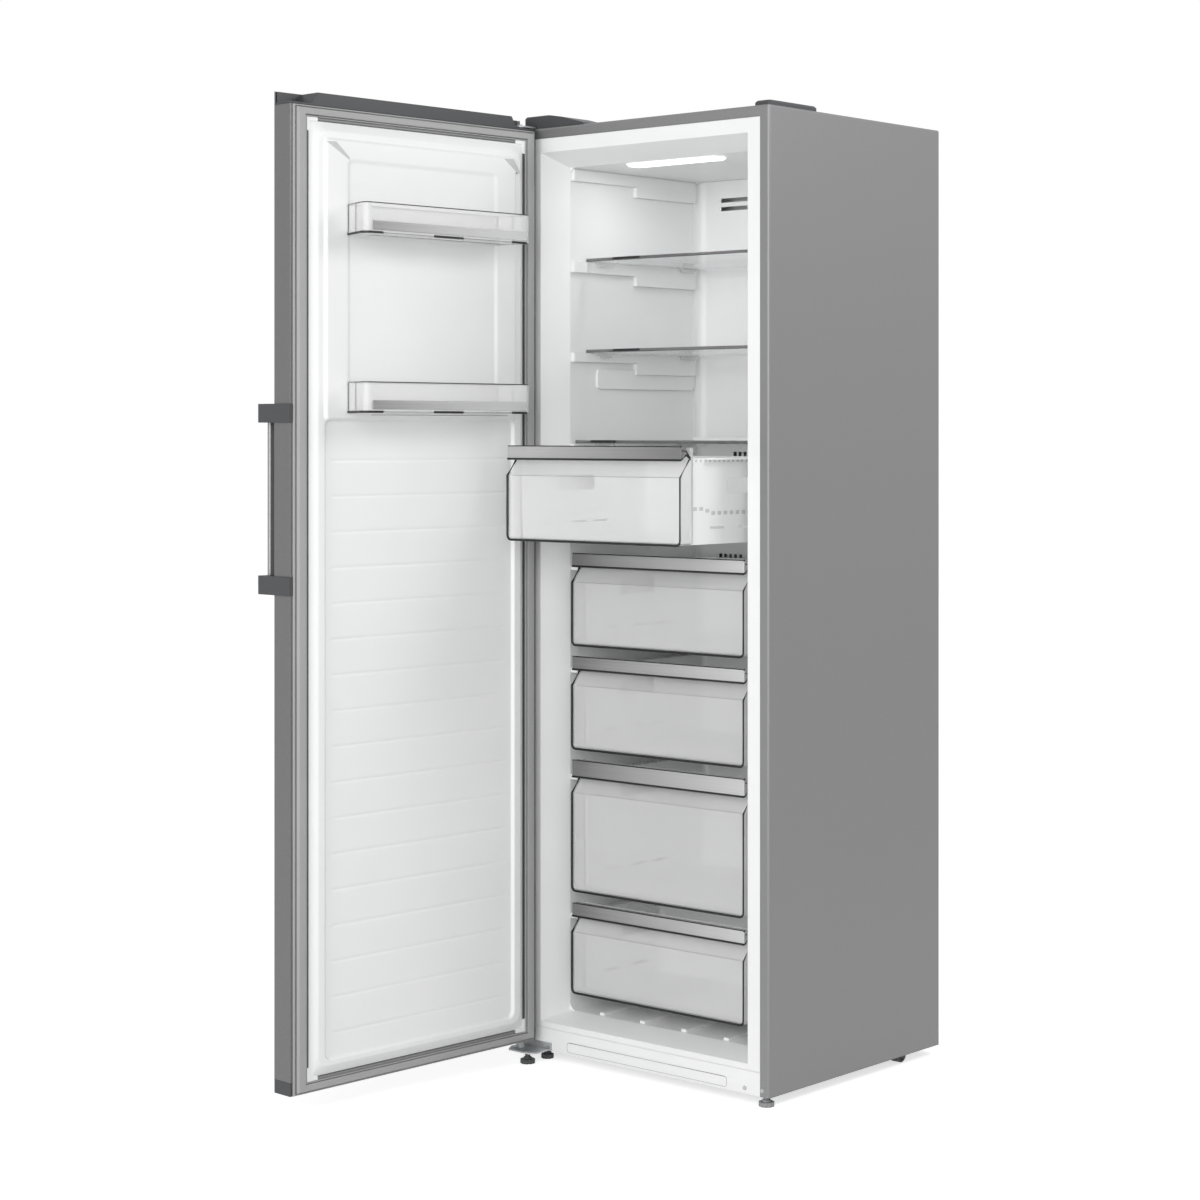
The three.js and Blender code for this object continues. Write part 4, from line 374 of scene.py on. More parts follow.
def rail(bm, points, radius, sides=8, closed=False):
    """A round bar along a run of points."""
    points = [Vector(p) for p in points]
    count = len(points)
    rings = []
    for i, point in enumerate(points):
        before = points[i - 1] if closed or i else point
        after = points[(i + 1) % count] if closed or i + 1 < count else point
        way = (after - before).normalized()
        turn = way.to_track_quat("Z", "Y").to_matrix().to_4x4()
        ring = bmesh.ops.create_circle(bm, cap_ends=False, radius=radius, segments=sides,
                                       matrix=Matrix.Translation(point) @ turn)["verts"]
        rings.append(ring)
    pairs = zip(rings, rings[1:] + ([rings[0]] if closed else []))
    for first, second in pairs:
        for k in range(sides):
            near = min(range(sides), key=lambda j: (second[j].co - first[0].co).length)
            bm.faces.new((first[k], first[(k + 1) % sides], second[(near + k + 1) % sides],
                          second[(near + k) % sides]))
    if not closed:
        bm.faces.new(rings[0])
        bm.faces.new(rings[-1])
    return bm


def dress(finish, *names):
    """Gives CAD nodes that stay as they are their finish."""
    for name in names:
        slots = NODES[name].data.materials
        if len(slots):
            slots[0] = finish
        else:
            slots.append(finish)


# ---- Door ---------------------------------------------------------------------------------------

SEAL_INSET, SEAL_WIDTH = 5.0, 28.0
SEAL_END, SEAL_END_WIDTH = 0.5, 20.5
RIM = dict(half=259.5, low=46.5, high=1715.9, bevel=15.6, end_bevel=17.5, start=3.9, height=13.1)
PANEL = dict(half=229.9, low=71.0, high=1197.0, radius=16, slope=5.2, height=7.5)
SHOULDER = dict(half=232.5, low=1192.0, high=1689.0, radius=10, slope=5.5, height=18.0)
RACK_BAY = dict(half=182.5, low=1201.0, high=1655.0, radius=14, slope=9.0, height=15.2)
GROOVES = [1122 - 62.8 * i for i in range(17)]
GROOVE_HALF, GROOVE_DEPTH, GROOVE_SPREAD = 214.0, 1.3, 2.4


def smooth_step(value):
    t = min(max(value, 0.0), 1.0)
    return t * t * (3 - 2 * t)


def inside(x, z, half, low, high, radius):
    """How far a point lies inside a rounded rectangle, or outside it as a negative number."""
    middle, reach = (low + high) / 2, (high - low) / 2
    a, b = abs(x) - half + radius, abs(z - middle) - reach + radius
    return radius - math.hypot(max(a, 0), max(b, 0)) - min(max(a, b), 0)


def door_relief(x, z):
    """Height of the door's moulded liner above its flat border."""
    out = inside(x, z, RIM["half"], RIM["low"], RIM["high"], 6)
    if out <= 0:
        return 0.0
    crest = -inside(x, z, RIM["half"] - RIM["bevel"], RIM["low"] + RIM["end_bevel"],
                    RIM["high"] - RIM["end_bevel"], 20)
    share = 1.0 if crest <= 0 else out / (out + crest)
    height = RIM["start"] + (RIM["height"] - RIM["start"]) * (share * 0.75 + smooth_step(share) * 0.25)
    sunk = smooth_step(inside(x, z, PANEL["half"], PANEL["low"], PANEL["high"], PANEL["radius"])
                       / PANEL["slope"])
    height -= (RIM["height"] - PANEL["height"]) * sunk
    raised = smooth_step(inside(x, z, SHOULDER["half"], SHOULDER["low"], SHOULDER["high"], SHOULDER["radius"])
                         / SHOULDER["slope"])
    height += (SHOULDER["height"] - height) * raised
    bay = smooth_step(inside(x, z, RACK_BAY["half"], RACK_BAY["low"], RACK_BAY["high"], RACK_BAY["radius"])
                      / RACK_BAY["slope"])
    height -= (SHOULDER["height"] - RACK_BAY["height"]) * bay
    for groove in GROOVES:
        if abs(z - groove) < 8:
            end = smooth_step((GROOVE_HALF - abs(x)) / 8)
            height -= GROOVE_DEPTH * end * math.exp(-((z - groove) / GROOVE_SPREAD) ** 2)
    return height


def spaced(start, end, marks, fine, coarse):
    """Stations from start to end, close together near the marks and far apart elsewhere."""
    stations = [start]
    while stations[-1] < end:
        here = stations[-1]
        gap = min(abs(here - m) for m in marks)
        step = fine if gap < 3.2 * fine else min(coarse, max(fine, gap / 2.2))
        stations.append(min(end, here + step))
    return stations


def door_inner_panel(bm):
    half, low, high = DOOR_HALF - 6.2, DOOR_BOTTOM + 5.3, SIDE_TOP - 5.3
    sides = [RIM["half"], RIM["half"] - RIM["bevel"], PANEL["half"], PANEL["half"] - 5, SHOULDER["half"] - 5,
             RACK_BAY["half"], RACK_BAY["half"] - 5, GROOVE_HALF]
    xs = spaced(-half, half, [s * m for s in (-1, 1) for m in sides], 1.6, 24)
    levels = [RIM["low"], RIM["low"] + RIM["end_bevel"], PANEL["low"], PANEL["low"] + 5,
              PANEL["high"] - 5, PANEL["high"], SHOULDER["low"] + 5, RACK_BAY["low"], RACK_BAY["low"] + 5,
              RACK_BAY["high"] - 5, RACK_BAY["high"], SHOULDER["high"] - 5, SHOULDER["high"],
              RIM["high"] - RIM["end_bevel"], RIM["high"]] + GROOVES
    zs = spaced(low, high, levels, 1.5, 20)
    grid = bmesh.ops.create_grid(bm, x_segments=len(xs) - 1, y_segments=len(zs) - 1, size=1)["verts"]
    for vertex in grid:
        x = xs[round((vertex.co.x + 1) / 2 * (len(xs) - 1))]
        z = zs[round((vertex.co.y + 1) / 2 * (len(zs) - 1))]
        vertex.co = (x, DOOR_INNER + door_relief(x, z), z)


SEAL_SECTION = [(0.0, 0.3), (0.0, 2.6), (0.05, 3.4), (0.12, 3.4), (0.15, 2.4), (0.18, 2.6), (0.24, 8.4),
                (0.28, 9.8), (0.34, 10.3), (0.76, 10.3), (0.8, 9.7), (0.83, 6.4), (0.86, 6.0), (0.89, 7.4),
                (0.95, 7.2), (0.99, 5.4), (1.0, 0.3)]  # share of the seal's width, height


def seal_corners(share, height):
    """The corners of the ring that lies at a share of the seal's width, so high over the border."""
    x = DOOR_HALF - SEAL_INSET - SEAL_WIDTH * share
    end = SEAL_END + SEAL_END_WIDTH * share
    plan = [(-x, DOOR_BOTTOM + end), (x, DOOR_BOTTOM + end), (x, SIDE_TOP - end), (-x, SIDE_TOP - end)]
    return [(a, DOOR_INNER + height, b) for a, b in plan]


def seal_ring(bm):
    """The magnetic seal: mitred sides with a lip, a flat magnet face and a fold at the inner edge."""
    rings = [[bm.verts.new(corner) for corner in seal_corners(*point)] for point in SEAL_SECTION]
    for ring, after in zip(rings, rings[1:] + rings[:1]):
        for k in range(4):
            bm.faces.new((ring[k], ring[(k + 1) % 4], after[(k + 1) % 4], after[k]))


RETAINER_LOW, RETAINER_HIGH = 41.5, 1721.5
CORNER_REACH, CORNER_WIDTH = 24.0, 7.0


RETAINER_SIDE, RETAINER_WIDTH, RETAINER_END_WIDTH = DOOR_HALF - 33.3, 3.4, 4.2
RETAINER_BASE, RETAINER_CREST = DOOR_INNER + 0.3, DOOR_INNER + 5.2


def retainer_strips(bm):
    """Dark strips that hold the seal's inner edge along its sides, between the corner pieces."""
    for mirror in (-1, 1):
        a, b = sorted((mirror * RETAINER_SIDE, mirror * (RETAINER_SIDE - RETAINER_WIDTH)))
        block(bm, a, b, RETAINER_BASE, RETAINER_CREST, RETAINER_LOW + CORNER_REACH,
              RETAINER_HIGH - CORNER_REACH)


def top_and_bottom_strips_painted_lighter(bm):
    """The same strips along the seal's top and bottom, painted a lighter grey than those along the sides, as
    light falls on them.
    """
    reach = RETAINER_SIDE - CORNER_REACH
    for low in (RETAINER_LOW, RETAINER_HIGH - RETAINER_END_WIDTH):
        block(bm, -reach, reach, RETAINER_BASE, RETAINER_CREST, low, low + RETAINER_END_WIDTH)


def painted_seal_crease_shade(bm):
    """Painted shade: dark grey rings in the creases of the seal beside its lip and beside the fold at its
    inner edge.
    """
    for share, height, radius in ((0.14, 3.2, 0.55), (0.19, 4.2, 0.7), (0.845, 6.6, 0.8)):
        rail(bm, seal_corners(share, height), radius, 6, closed=True)


def painted_bay_gusset_shade(bm):
    """Painted shade: grey plates for the shaded facets that run from the shoulder's upper corners to those of
    the rack bay.
    """
    for facet in ([(230, 1681), (208, 1682), (177, 1656), (178, 1652)],
                  [(-198, 1683), (-222, 1684), (-239, 1660), (-234, 1657)]):
        pushed(bm, facet, "y", DOOR_INNER + 13.0, DOOR_INNER + 18.5)


def retainer_corners(bm):
    """White L-shaped corner pieces over the ends of the strips."""
    side, y0, y1 = DOOR_HALF - 32.9, DOOR_INNER + 0.3, DOOR_INNER + 6.0
    for mirror in (-1, 1):
        for low, way in ((RETAINER_LOW - 0.6, 1), (RETAINER_HIGH + 0.6, -1)):
            reach, width = CORNER_REACH, CORNER_WIDTH
            plan = [(0, 0), (reach, 0), (reach, width), (width, width), (width, reach), (0, reach)]
            pushed(bm, [(mirror * (side - a), low + way * b) for a, b in plan], "y", y0, y1)


RACK_TOPS = {"upper": 1573, "lower": 1260}
RACK_HEIGHT, RACK_WALL, RACK_FLOOR = 53, 2.2, 2.4
RACK_BACK, RACK_FRONT = DOOR_INNER + 18.3, DOOR_INNER + 90
RACK_BACK_HALF, RACK_FRONT_HALF, RACK_CORNER = 181, 200, 14


def rack_plan(inset, steps=6):
    """A door rack seen from above: it widens forwards and its front corners are round."""
    back, front = RACK_BACK + inset, RACK_FRONT - inset
    a, b, radius = RACK_BACK_HALF - inset, RACK_FRONT_HALF - inset, RACK_CORNER - inset
    points = [(-a, back), (a, back)]
    for centre, start in ((b - radius, 0), (-b + radius, 90)):
        for i in range(steps + 1):
            angle = math.radians(start + 90 * i / steps)
            points.append((centre + radius * math.cos(angle), front - radius + radius * math.sin(angle)))
    return points


def rack_bin(bm, low, top):
    """The clear bin: a thin wall round a floor, made by pushing down the inside of a block."""
    pushed(bm, rack_plan(0), "z", low, top)
    upper = max(bm.faces, key=lambda f: f.calc_center_median().z)
    rim = bmesh.ops.inset_individual(bm, faces=[upper], thickness=RACK_WALL, use_even_offset=True)["faces"]
    inner = [f for f in bm.faces if f.calc_center_median().z > top - 0.1 and f not in rim]
    down = bmesh.ops.extrude_face_region(bm, geom=inner)["geom"]
    bmesh.ops.delete(bm, geom=inner, context="FACES")
    bmesh.ops.translate(bm, verts=vertices_in(down), vec=(0, 0, low + RACK_FLOOR - top))


def painted_rack_rim_shade(bm, top):
    """Painted shade: a thin dark line along the rack's upper edge."""
    rail(bm, [(x, y, top - 0.2) for x, y in rack_plan(0.6)], 1.0, 6, closed=True)


def painted_rack_upright_shade(bm, low, top):
    """Painted shade: dark lines on the edges of the end walls, at the back, at the hook's rib and at the
    front corner near the hinge.
    """
    for x, y in ((-180.6, 18.9), (180.6, 18.9), (-190.2, 49.5), (190.2, 49.5), (-198.9, 77.0)):
        rail(bm, [(x, DOOR_INNER + y, low + 1), (x, DOOR_INNER + y, top - 1)], 1.0, 6)


def painted_rack_foot_shade(bm, low):
    """Painted shade: grey lines along the lower edge of the front and ends, and the skirt's thin line under
    it.
    """
    plan = rack_plan(0.4)
    rail(bm, [(x, y, low + 0.9) for x, y in plan[1:] + plan[:1]], 0.6, 6)
    front = RACK_FRONT - 2
    rail(bm, [(187, front, low - 4.6), (-140, front, low - 4.6)], 0.5, 6)


def painted_rack_feet_shade(bm, low):
    """Painted shade: black on stretches of the lower edge where thicker plastic gathers the dark."""
    front = RACK_FRONT - 0.1
    corner = [point for point in rack_plan(0.1) if point[0] > 150]
    rail(bm, [(x, y, low + 0.9) for x, y in corner + [(162, front)]], 2.1, 6)
    for start, end in ((42, -28), (-150, -186)):
        rail(bm, [(start, front, low + 0.9), (end, front, low + 0.9)], 2.1, 6)


def painted_rack_corner_highlight(bm, low, top):
    """Painted highlight: white translucent posts inside the rounded front corners."""
    front = RACK_FRONT - 2.6
    for mirror in (-1, 1):
        a, b = sorted((mirror * 197.0, mirror * 186.0))
        radii = (0, 0, 9, 0) if mirror > 0 else (0, 0, 0, 9)
        pushed(bm, rounded(a, b, front - 11, front, radii), "z", low + 2.6, top - 2)


FOAM_SHRINK = 0.93  # keeps the foam under the relief of the moulded panel


def make_door():
    finished("door_inner_panel", made_of(door_inner_panel), WHITE, "door", DOOR,
             ("door_liner",), smooth=40, thickness=1.6, facing=(0, 1, 0))
    finished("magnetic_door_seal", made_of(seal_ring), SEAL, "door", DOOR, ("door_gasket",),
             smooth=30)
    finished("seal_retainer_strips", made_of(retainer_strips, ease=0.3), DARK, "door", DOOR,
             ("gasket_retainer",))
    finished("seal_strips_top_and_bottom_painted_lighter", made_of(top_and_bottom_strips_painted_lighter, ease=0.3), PAINTED_LIGHTER_STRIP_GREY, "door", DOOR)
    finished("magnetic_door_seal_painted_crease_shade", made_of(painted_seal_crease_shade), PAINTED_SEAL_CREASE_SHADE, "door", DOOR)
    finished("door_liner_gusset_painted_shade", made_of(painted_bay_gusset_shade, ease=0.4), PAINTED_SHADE_ON_WHITE, "door", DOOR)
    finished("retainer_corner_pieces", made_of(retainer_corners, ease=0.5), WHITE_PLASTIC, "door",
             DOOR)
    for place, top in RACK_TOPS.items():
        low, body = top - RACK_HEIGHT, f"{place}_rack"
        finished(f"{place}_rack_bin", made_of(rack_bin, low, top, ease=0.4), CLEAR, body,
                 DOOR, (f"{place}_door_rack",))
        for part, finish, build in (("upper_line", PAINTED_FINE_SHADE, lambda bm: painted_rack_rim_shade(bm, top)),
                                    ("painted_upright_shade", PAINTED_FINE_SHADE, lambda bm: painted_rack_upright_shade(bm, low, top)),
                                    ("lower_line", PAINTED_FOLD_SHADE, lambda bm: painted_rack_foot_shade(bm, low)),
                                    ("painted_feet_shade", PAINTED_EDGE_SHADE, lambda bm: painted_rack_feet_shade(bm, low)),
                                    ("corner_painted_highlight", PAINTED_CORNER_HIGHLIGHT, lambda bm: painted_rack_corner_highlight(bm, low, top))):
            finished(f"{place}_rack_{part}", made_of(build), finish, body, DOOR)
        band = f"{place}_door_rack_band"
        finished(f"{place}_rack_foil", copied(band, DOOR, 0.3), RACK_FOIL, body, DOOR, (band,))
    for node, ease in (("door_top_cap", 0.8), ("door_bottom_cap", 0.8), ("upper_handle_bracket", 0.7),
                       ("lower_handle_bracket", 0.7)):
        finished(f"{node}_moulding", copied(node, DOOR, ease), DARK, "door", DOOR, (node,))
    finished("handle_bar_extrusion", copied("handle_bar", DOOR, 0.5), SILVER, "door", DOOR,
             ("handle_bar",))
    dress(DOOR_STEEL, "door_skin")
    foam = copied("door_foam", DOOR)
    bmesh.ops.scale(foam, vec=(1, FOAM_SHRINK, 1), verts=foam.verts,
                    space=Matrix.Translation((0, -DOOR_OUTER, 0)))
    finished("door_foam_core", foam, FOAM, "door", DOOR, ("door_foam",))


# ---- Cabinet ------------------------------------------------------------------------------------

INTERIOR_HALF = 228.0
SHELF_TOPS = [1506, 1331, 1157]
SHELF_FRONTS = [102, 102, 71]
SHELF_BACK = 428
SHELF_HALF = INTERIOR_HALF - 3
TRIM_HEIGHT = 6
TRIM_DEPTH = 7


def shelf_nose(bm, top, front):
    """Bright trim on a glass shelf's front edge."""
    pushed(bm, rounded(front, front + TRIM_DEPTH, top - TRIM_HEIGHT, top, (1.6, 0, 0, 1.6), 3), "x",
           -SHELF_HALF, SHELF_HALF)


# Painted reflection: where along each shelf's trim the black stretch runs, from and to in x.
TRIM_PAINTED_REFLECTIONS = [(-157, -90), (-157, -90), (-185, -122)]


def painted_trim_reflection(bm, top, front, start, end):
    """Painted reflection: black on the stretch of the trim that would mirror the dark of the door's hinge
    side.
    """
    shade = rounded(front - 0.3, front + TRIM_DEPTH - 0.2, top - 5.0, top + 0.25, (1.6, 0, 0, 1.6), 3)
    pushed(bm, shade, "x", start, end)


def shelf_rear(bm, top):
    """White trim along the back edge, with its upstand."""
    low, front, wall = top - TRIM_HEIGHT, SHELF_BACK - TRIM_DEPTH, SHELF_BACK - 2.5
    section = [(front, low), (SHELF_BACK, low), (SHELF_BACK, low + 11), (wall, low + 11), (wall, low + 5),
               (front, low + 5)]
    pushed(bm, section, "x", -SHELF_HALF, SHELF_HALF)


def shelf_sides(bm, top, front):
    """Clear strips under the pane's ends, with the clips that hang from them."""
    low = top - TRIM_HEIGHT
    for mirror in (-1, 1):
        a, b = sorted((mirror * (SHELF_HALF - 20), mirror * SHELF_HALF))
        block(bm, a, b, front + TRIM_DEPTH, SHELF_BACK - TRIM_DEPTH, low, top - 5.3)
        outer = INTERIOR_HALF - 10
        c, d = sorted((mirror * (outer - 8), mirror * outer))
        for y in (120, SHELF_BACK - 56):
            pushed(bm, [(y, low), (y + 6, low - 9), (y + 42, low - 9), (y + 48, low)], "x", c, d)


def make_shelves():
    for i, (top, front) in enumerate(zip(SHELF_TOPS, SHELF_FRONTS), 1):
        body = f"shelf_{i}"
        finished(f"shelf_{i}_front_trim", made_of(shelf_nose, top, front, ease=0.3), TRIM, body,
                 stands_for=(f"shelf_{i}_frame",))
        finished(f"shelf_{i}_trim_painted_reflection", made_of(painted_trim_reflection, top, front, *TRIM_PAINTED_REFLECTIONS[i - 1]), BLACK, body)
        finished(f"shelf_{i}_rear_trim", made_of(shelf_rear, top, ease=0.5), WHITE_PLASTIC, body)
        finished(f"shelf_{i}_side_strips", made_of(shelf_sides, top, front, ease=0.5), CLEAR, body)
        finished(f"shelf_{i}_pane", copied(f"shelf_{i}_glass", ease=0.4), GLASS, body,
                 stands_for=(f"shelf_{i}_glass",))


DRAWER_TOPS = [1147, 942, 746, 549, 277]
DRAWER_BOTTOMS = [974, 768, 571, 301, 107]
GRIP_HEIGHTS = [23.5, 24, 24, 31, 24]
DRAWER_HALF = 208
DRAWER_FRONT = 43
DRAWER_PULL = 178
DRAWER_BACKS = [438, 438, 438, 438, 302]
KNEE_DROP = 31
FRONT_RETURN, FRONT_LEAN, FRONT_WALL = 34.0, 25.0, 2.6


def clear_front(bm, low, knee, under, top):
    """The clear front: bottom, face and leaning top in one run, closed by its two ends."""
    face, back = DRAWER_FRONT, DRAWER_FRONT + FRONT_RETURN
    run = [(back, low), (face, low), (face, knee), (face + FRONT_LEAN, under), (face + FRONT_LEAN + 3, top)]
    verts = [bm.verts.new((-DRAWER_HALF, y, z)) for y, z in run]
    edges = [bm.edges.new(pair) for pair in zip(verts, verts[1:])]
    out = bmesh.ops.extrude_edge_only(bm, edges=edges)["geom"]
    bmesh.ops.translate(bm, verts=vertices_in(out), vec=(2 * DRAWER_HALF, 0, 0))
    for x in (-DRAWER_HALF, DRAWER_HALF):
        end = [v for v in bm.verts if v.co.x == x]
        side = [min(end, key=lambda v: math.hypot(v.co.y - y, v.co.z - z)) for y, z in run]
        bm.faces.new(side + [bm.verts.new((x, back, top))])
    eased(bm, 6.5, segments=4, degrees=60)


def front_edge(low, knee, under, out, radius=8):
    """The run of the clear front's outer edge, from under the grip down one end to the floor's corner."""
    half = DRAWER_HALF - 1.0
    face = DRAWER_FRONT - out
    turn = [(half - radius + radius * math.cos(a), face, low + radius - radius * math.sin(a))
            for a in (math.radians(d) for d in (0, 30, 60, 90))]
    return [(half, face + FRONT_LEAN, under), (half, face, knee)] + turn


def painted_front_edge_shade(bm, low, knee, under):
    """Painted shade: a black line along the left end and the bottom, finer up the right end."""
    run = front_edge(low, knee, under, 1.4)
    left = [(-x, y, z) for x, y, z in run]
    rail(bm, left + [run[-1], run[-2], run[-3]], 2.2)
    rail(bm, run[:-2], 1.5)


def painted_fold_shade_lines(bm, low, knee, under):
    """Painted shade: grey lines where the returns meet the white tub, seen through the front, and at the
    crease at the knee.
    """
    half, back = DRAWER_HALF - 2.0, DRAWER_FRONT + FRONT_RETURN - 1.0
    fold = [(-half, under + 1), (-half, low + 7), (-half + 6, low + 1.4), (half - 6, low + 1.4),
            (half, low + 7), (half, under + 1)]
    rail(bm, [(x, back, z) for x, z in fold], 0.75, 6)
    rail(bm, [(-half + 8, DRAWER_FRONT + 3.0, knee), (half - 1, DRAWER_FRONT + 3.0, knee)], 0.7, 6)


def painted_grip_gap_shade(bm, top, grip):
    """Painted shade: black lines in the gaps above and below the grip strip."""
    half, face = DRAWER_HALF - 0.6, DRAWER_FRONT - 0.7
    under = top - grip - 0.3
    rail(bm, [(-half, face, under), (half, face, under)], 1.9, 6)
    rail(bm, [(-half, face + 1.0, top + 0.1), (half, face + 1.0, top + 0.1)], 0.9, 6)


def painted_grip_fold_shade(bm, top, grip):
    """Painted shade: black lines on the folds of the clear plastic that close the grip's right end."""
    side, under = DRAWER_HALF + 0.2, top - grip
    for radius, *run in ((1.7, (0.5, under), (15, under + 9), (26, under + 1)),
                         (1.2, (3, top - 7), (14, top - 8), (25, under + 4)),
                         (0.5, (16, under + 6), (29, under + 5))):
        rail(bm, [(side, DRAWER_FRONT + y, z) for y, z in run], radius, 6)
    rail(bm, [(side - 1, DRAWER_FRONT - 0.4, top - 2), (side, DRAWER_FRONT + 2, top + 1.5)], 1.0, 6)


def painted_side_pocket_shade(bm, top, low, end):
    """Painted shade: thin grey blocks for the teeth under the runner and the ladder of pockets along both
    outer sides of a tub.
    """
    for mirror in (-1, 1):
        def pocket(y, z, length, height, lean):
            x = DRAWER_HALF - 2.0 - lean
            a, b = sorted((mirror * (x - 0.4), mirror * (x + 0.35)))
            block(bm, a, b, y, y + length, z, z + height)
        y = DRAWER_FRONT + 42
        while y < end - 20:
            pocket(y, top - 27.5, 5.5, 4.6, 0.35)
            y += 13
        y = DRAWER_FRONT + 40
        while y < end - 26:
            drop = 8 * smooth_step((y - DRAWER_FRONT - 60) / 30)
            pocket(y, low + 60 - drop, 10, 6.5, 2.9)
            y += 17


def make_drawers():
    for i in range(5):
        n = i + 1
        body = f"drawer_{n}"
        pull = Matrix.Translation((0, -DRAWER_PULL if i == 0 else 0, 0))
        place = CABINET @ pull
        top, low, grip = DRAWER_TOPS[i], DRAWER_BOTTOMS[i], GRIP_HEIGHTS[i]
        under = top - grip
        knee = under - KNEE_DROP
        finished(f"drawer_{n}_tub", copied(f"drawer_{n}_box"), WHITE_PLASTIC, body,
                 stands_for=(f"drawer_{n}_box",), smooth=3)
        finished(f"drawer_{n}_side_pocket_painted_shade", made_of(painted_side_pocket_shade, top, low, DRAWER_BACKS[i]), PAINTED_POCKET_SHADE, body,
                 place)
        finished(f"drawer_{n}_clear_front", made_of(clear_front, low, knee, under + 1, top - 2), CLEAR, body,
                 place, (f"drawer_{n}_front",), thickness=FRONT_WALL)
        for part, finish, build in (("painted_edge_shade", PAINTED_EDGE_SHADE, lambda bm: painted_front_edge_shade(bm, low, knee, under)),
                                    ("painted_fold_shade_lines", PAINTED_FOLD_SHADE, lambda bm: painted_fold_shade_lines(bm, low, knee, under)),
                                    ("painted_grip_gap_shade", PAINTED_EDGE_SHADE, lambda bm: painted_grip_gap_shade(bm, top, grip)),
                                    ("grip_end", PAINTED_EDGE_SHADE, lambda bm: painted_grip_fold_shade(bm, top, grip))):
            finished(f"drawer_{n}_{part}", made_of(build), finish, body, place)
        finished(f"drawer_{n}_grip_strip", copied(f"drawer_{n}_grip", ease=0.6), GRIP if i else TOP_GRIP,
                 body, stands_for=(f"drawer_{n}_grip",))


LINER_FLOOR, LINER_CEILING, LINER_CORNER, THROAT_END = 68, 1678, 16, 60
WEB_HALF = 0.8


def liner_webs(bm):
    """Webs that close the liner's corners where its square throat meets the rounded room."""
    for side in (-1, 1):
        for level, way in ((LINER_FLOOR, 1), (LINER_CEILING, -1)):
            a, b = side * (INTERIOR_HALF - LINER_CORNER), level + way * LINER_CORNER
            arc = [(a + side * LINER_CORNER * math.cos(t), b - way * LINER_CORNER * math.sin(t))
                   for t in (math.radians(15 * i) for i in range(7))]
            corner = (side * (INTERIOR_HALF + WEB_HALF), level - way * WEB_HALF)
            pushed(bm, arc + [corner], "y", THROAT_END - WEB_HALF, THROAT_END + WEB_HALF)


def painted_plinth_outline_shade(bm):
    """Painted shade: a grey line round the outline of the long shallow panel pressed into the plinth."""
    rail(bm, [(x, -0.1, z) for x, z in rounded(-182, 202, 5, 23, 5, 3)], 0.6, 6, closed=True)


def front_screws(bm):
    """Screw heads at the foot of the plinth's right end and of the steel flange beside it."""
    facing_front = Matrix.Rotation(math.radians(90), 4, "X")
    for x, z in ((242.7, 9.9), (282.3, 11.4)):
        bmesh.ops.create_cone(bm, cap_ends=True, segments=20, radius1=4.2, radius2=3.4, depth=1.6,
                              matrix=Matrix.Translation((x, -0.6, z)) @ facing_front)


def make_cabinet():
    finished("inner_liner_corner_webs", made_of(liner_webs), WHITE, "cabinet")
    finished("plinth_panel_painted_outline_shade", made_of(painted_plinth_outline_shade), PAINTED_SHADE_ON_WHITE, "cabinet")
    finished("front_screws", made_of(front_screws), ZINC, "cabinet")
    dress(SIDE_STEEL, "outer_shell")
    dress(ZINC, "back_panel", "upper_hinge", "lower_hinge")
    dress(WHITE, "inner_liner", "duct_cover")
    dress(WHITE_PLASTIC, "plinth_panel", "evaporator_fan")
    dress(FOAM, "insulation_foam")
    dress(ENAMEL, "base_pan", "compressor", "condenser_coil")
    dress(BLACK, "fan_motor", "cable_gland")
    dress(DARK, "drip_tray", "hinge_cover", "blank_cover", "rear_roller_left", "rear_roller_right",
          "front_foot_left", "hinge_foot")
    dress(FOOT_GREY, "front_foot_right")
    dress(FIN, "evaporator")
    dress(COPPER, "cooling_pipes")
    dress(LAMP, "ceiling_lamp")


make_door()
make_cabinet()
make_shelves()
make_drawers()

# ---- Camera, floor and light --------------------------------------------------------------------

CAMERA_PLACE = (3040, -3552, 1172)
CAMERA_YAW = 41.47
LENS_MM = 76.4
SHIFT_Y = -0.1397


def set_camera():
    data = bpy.data.cameras.new("camera")
    data.lens = LENS_MM
    data.sensor_width = 36
    data.shift_y = SHIFT_Y
    camera = bpy.data.objects.new("camera", data)
    camera.location = CABINET @ Vector(CAMERA_PLACE)
    camera.rotation_euler = (math.radians(90), 0, math.radians(CAMERA_YAW))
    bpy.context.scene.collection.objects.link(camera)
    bpy.context.scene.camera = camera


# Each lamp's name, place, target, size in metres, and watts.
LAMPS = [
    ("front_softbox", (0.3, -4.2, 1.2), (0.03, 0.3, 0.95), (1.6, 2.2), 50),
    ("key_softbox", (2.4, -3.3, 2.2), (0.0, 0.2, 0.9), (2.0, 2.0), 55),
    ("high_side_softbox", (1.9, 0.7, 2.5), (0.33, 0.25, 1.35), (0.9, 0.9), 18),
    ("compartment_lamp", (0.035, 0.16, 1.695), (0.035, 0.17, 0.5), (0.22, 0.06), 0.55),
]
WORLD_FILL, WORLD_SEEN = 0.46, 1.0  # what falls on the object, and what is seen as white
FLOOR_SEEN = 0.68


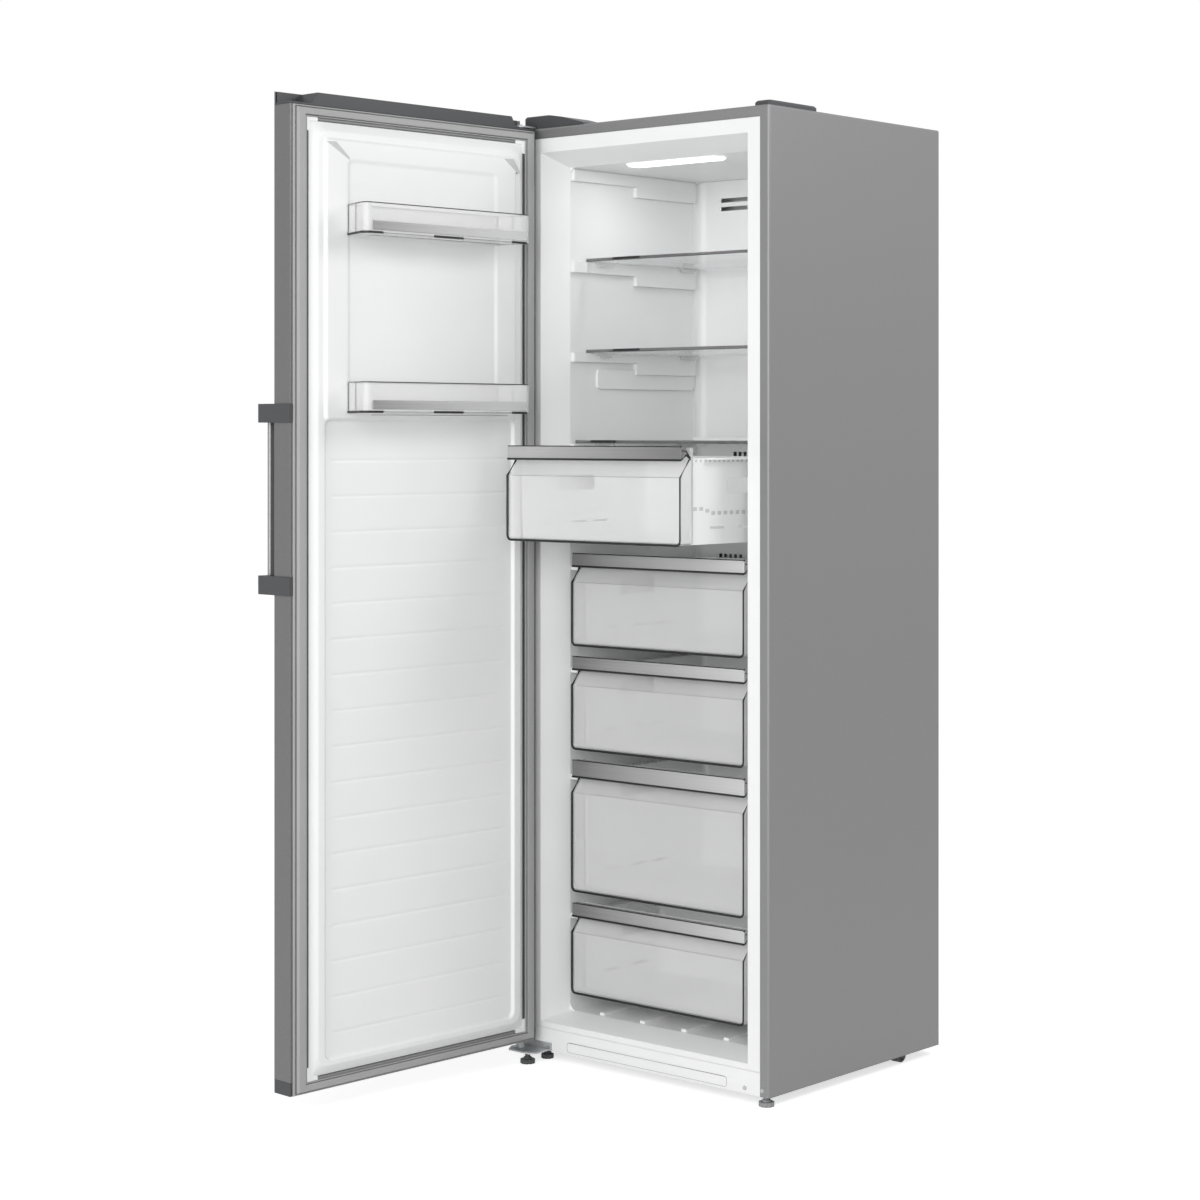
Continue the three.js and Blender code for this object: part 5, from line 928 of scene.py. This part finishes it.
def area_light(name, place, target, size, watts):
    data = bpy.data.lights.new(name, "AREA")
    data.shape = "RECTANGLE"
    data.size, data.size_y = size
    data.energy = watts
    lamp = bpy.data.objects.new(name, data)
    lamp.location = place
    lamp.visible_camera = False
    way = Vector(target) - Vector(place)
    lamp.rotation_euler = way.to_track_quat("-Z", "Y").to_euler()
    bpy.context.scene.collection.objects.link(lamp)


def seen_directly(tree):
    """One where a camera, mirror or clear ray looks, nothing for the light that falls on things."""
    path = add(tree, "ShaderNodeLightPath")
    first = add(tree, "ShaderNodeMath", {0: path.outputs["Is Camera Ray"], 1: path.outputs["Is Glossy Ray"]},
                operation="MAXIMUM")
    return add(tree, "ShaderNodeMath", {0: first.outputs[0], 1: path.outputs["Is Transmission Ray"]},
               operation="MAXIMUM").outputs[0]


def set_world():
    world = bpy.data.worlds.new("studio")
    world.use_nodes = True
    tree = world.node_tree
    ground = tree.nodes["Background"]
    ground.inputs["Color"].default_value = linear("#ffffff")
    strength = add(tree, "ShaderNodeMapRange", {"Value": seen_directly(tree), "To Min": WORLD_FILL,
                                                "To Max": WORLD_SEEN})
    tree.links.new(strength.outputs[0], ground.inputs["Strength"])
    bpy.context.scene.world = world


def set_floor():
    bm = bmesh.new()
    bmesh.ops.create_grid(bm, x_segments=1, y_segments=1, size=12)
    mesh = bpy.data.meshes.new("studio_floor")
    bm.to_mesh(mesh)
    bm.free()
    floor = bpy.data.objects.new("studio_floor", mesh)
    bpy.context.scene.collection.objects.link(floor)
    made = bpy.data.materials.new("studio_floor_paint")
    made.use_nodes = True
    tree = made.node_tree
    shader = tree.nodes["Principled BSDF"]
    shader.inputs["Base Color"].default_value = linear("#dadada")
    shader.inputs["Roughness"].default_value = 0.9
    shader.inputs["Emission Color"].default_value = linear("#ffffff")
    lift = add(tree, "ShaderNodeMath", {0: seen_directly(tree), 1: FLOOR_SEEN}, operation="MULTIPLY")
    tree.links.new(lift.outputs[0], shader.inputs["Emission Strength"])
    mesh.materials.append(made)


set_camera()
set_world()
set_floor()
for lamp_row in LAMPS:
    area_light(*lamp_row)
bpy.context.scene.view_settings.view_transform = "Standard"
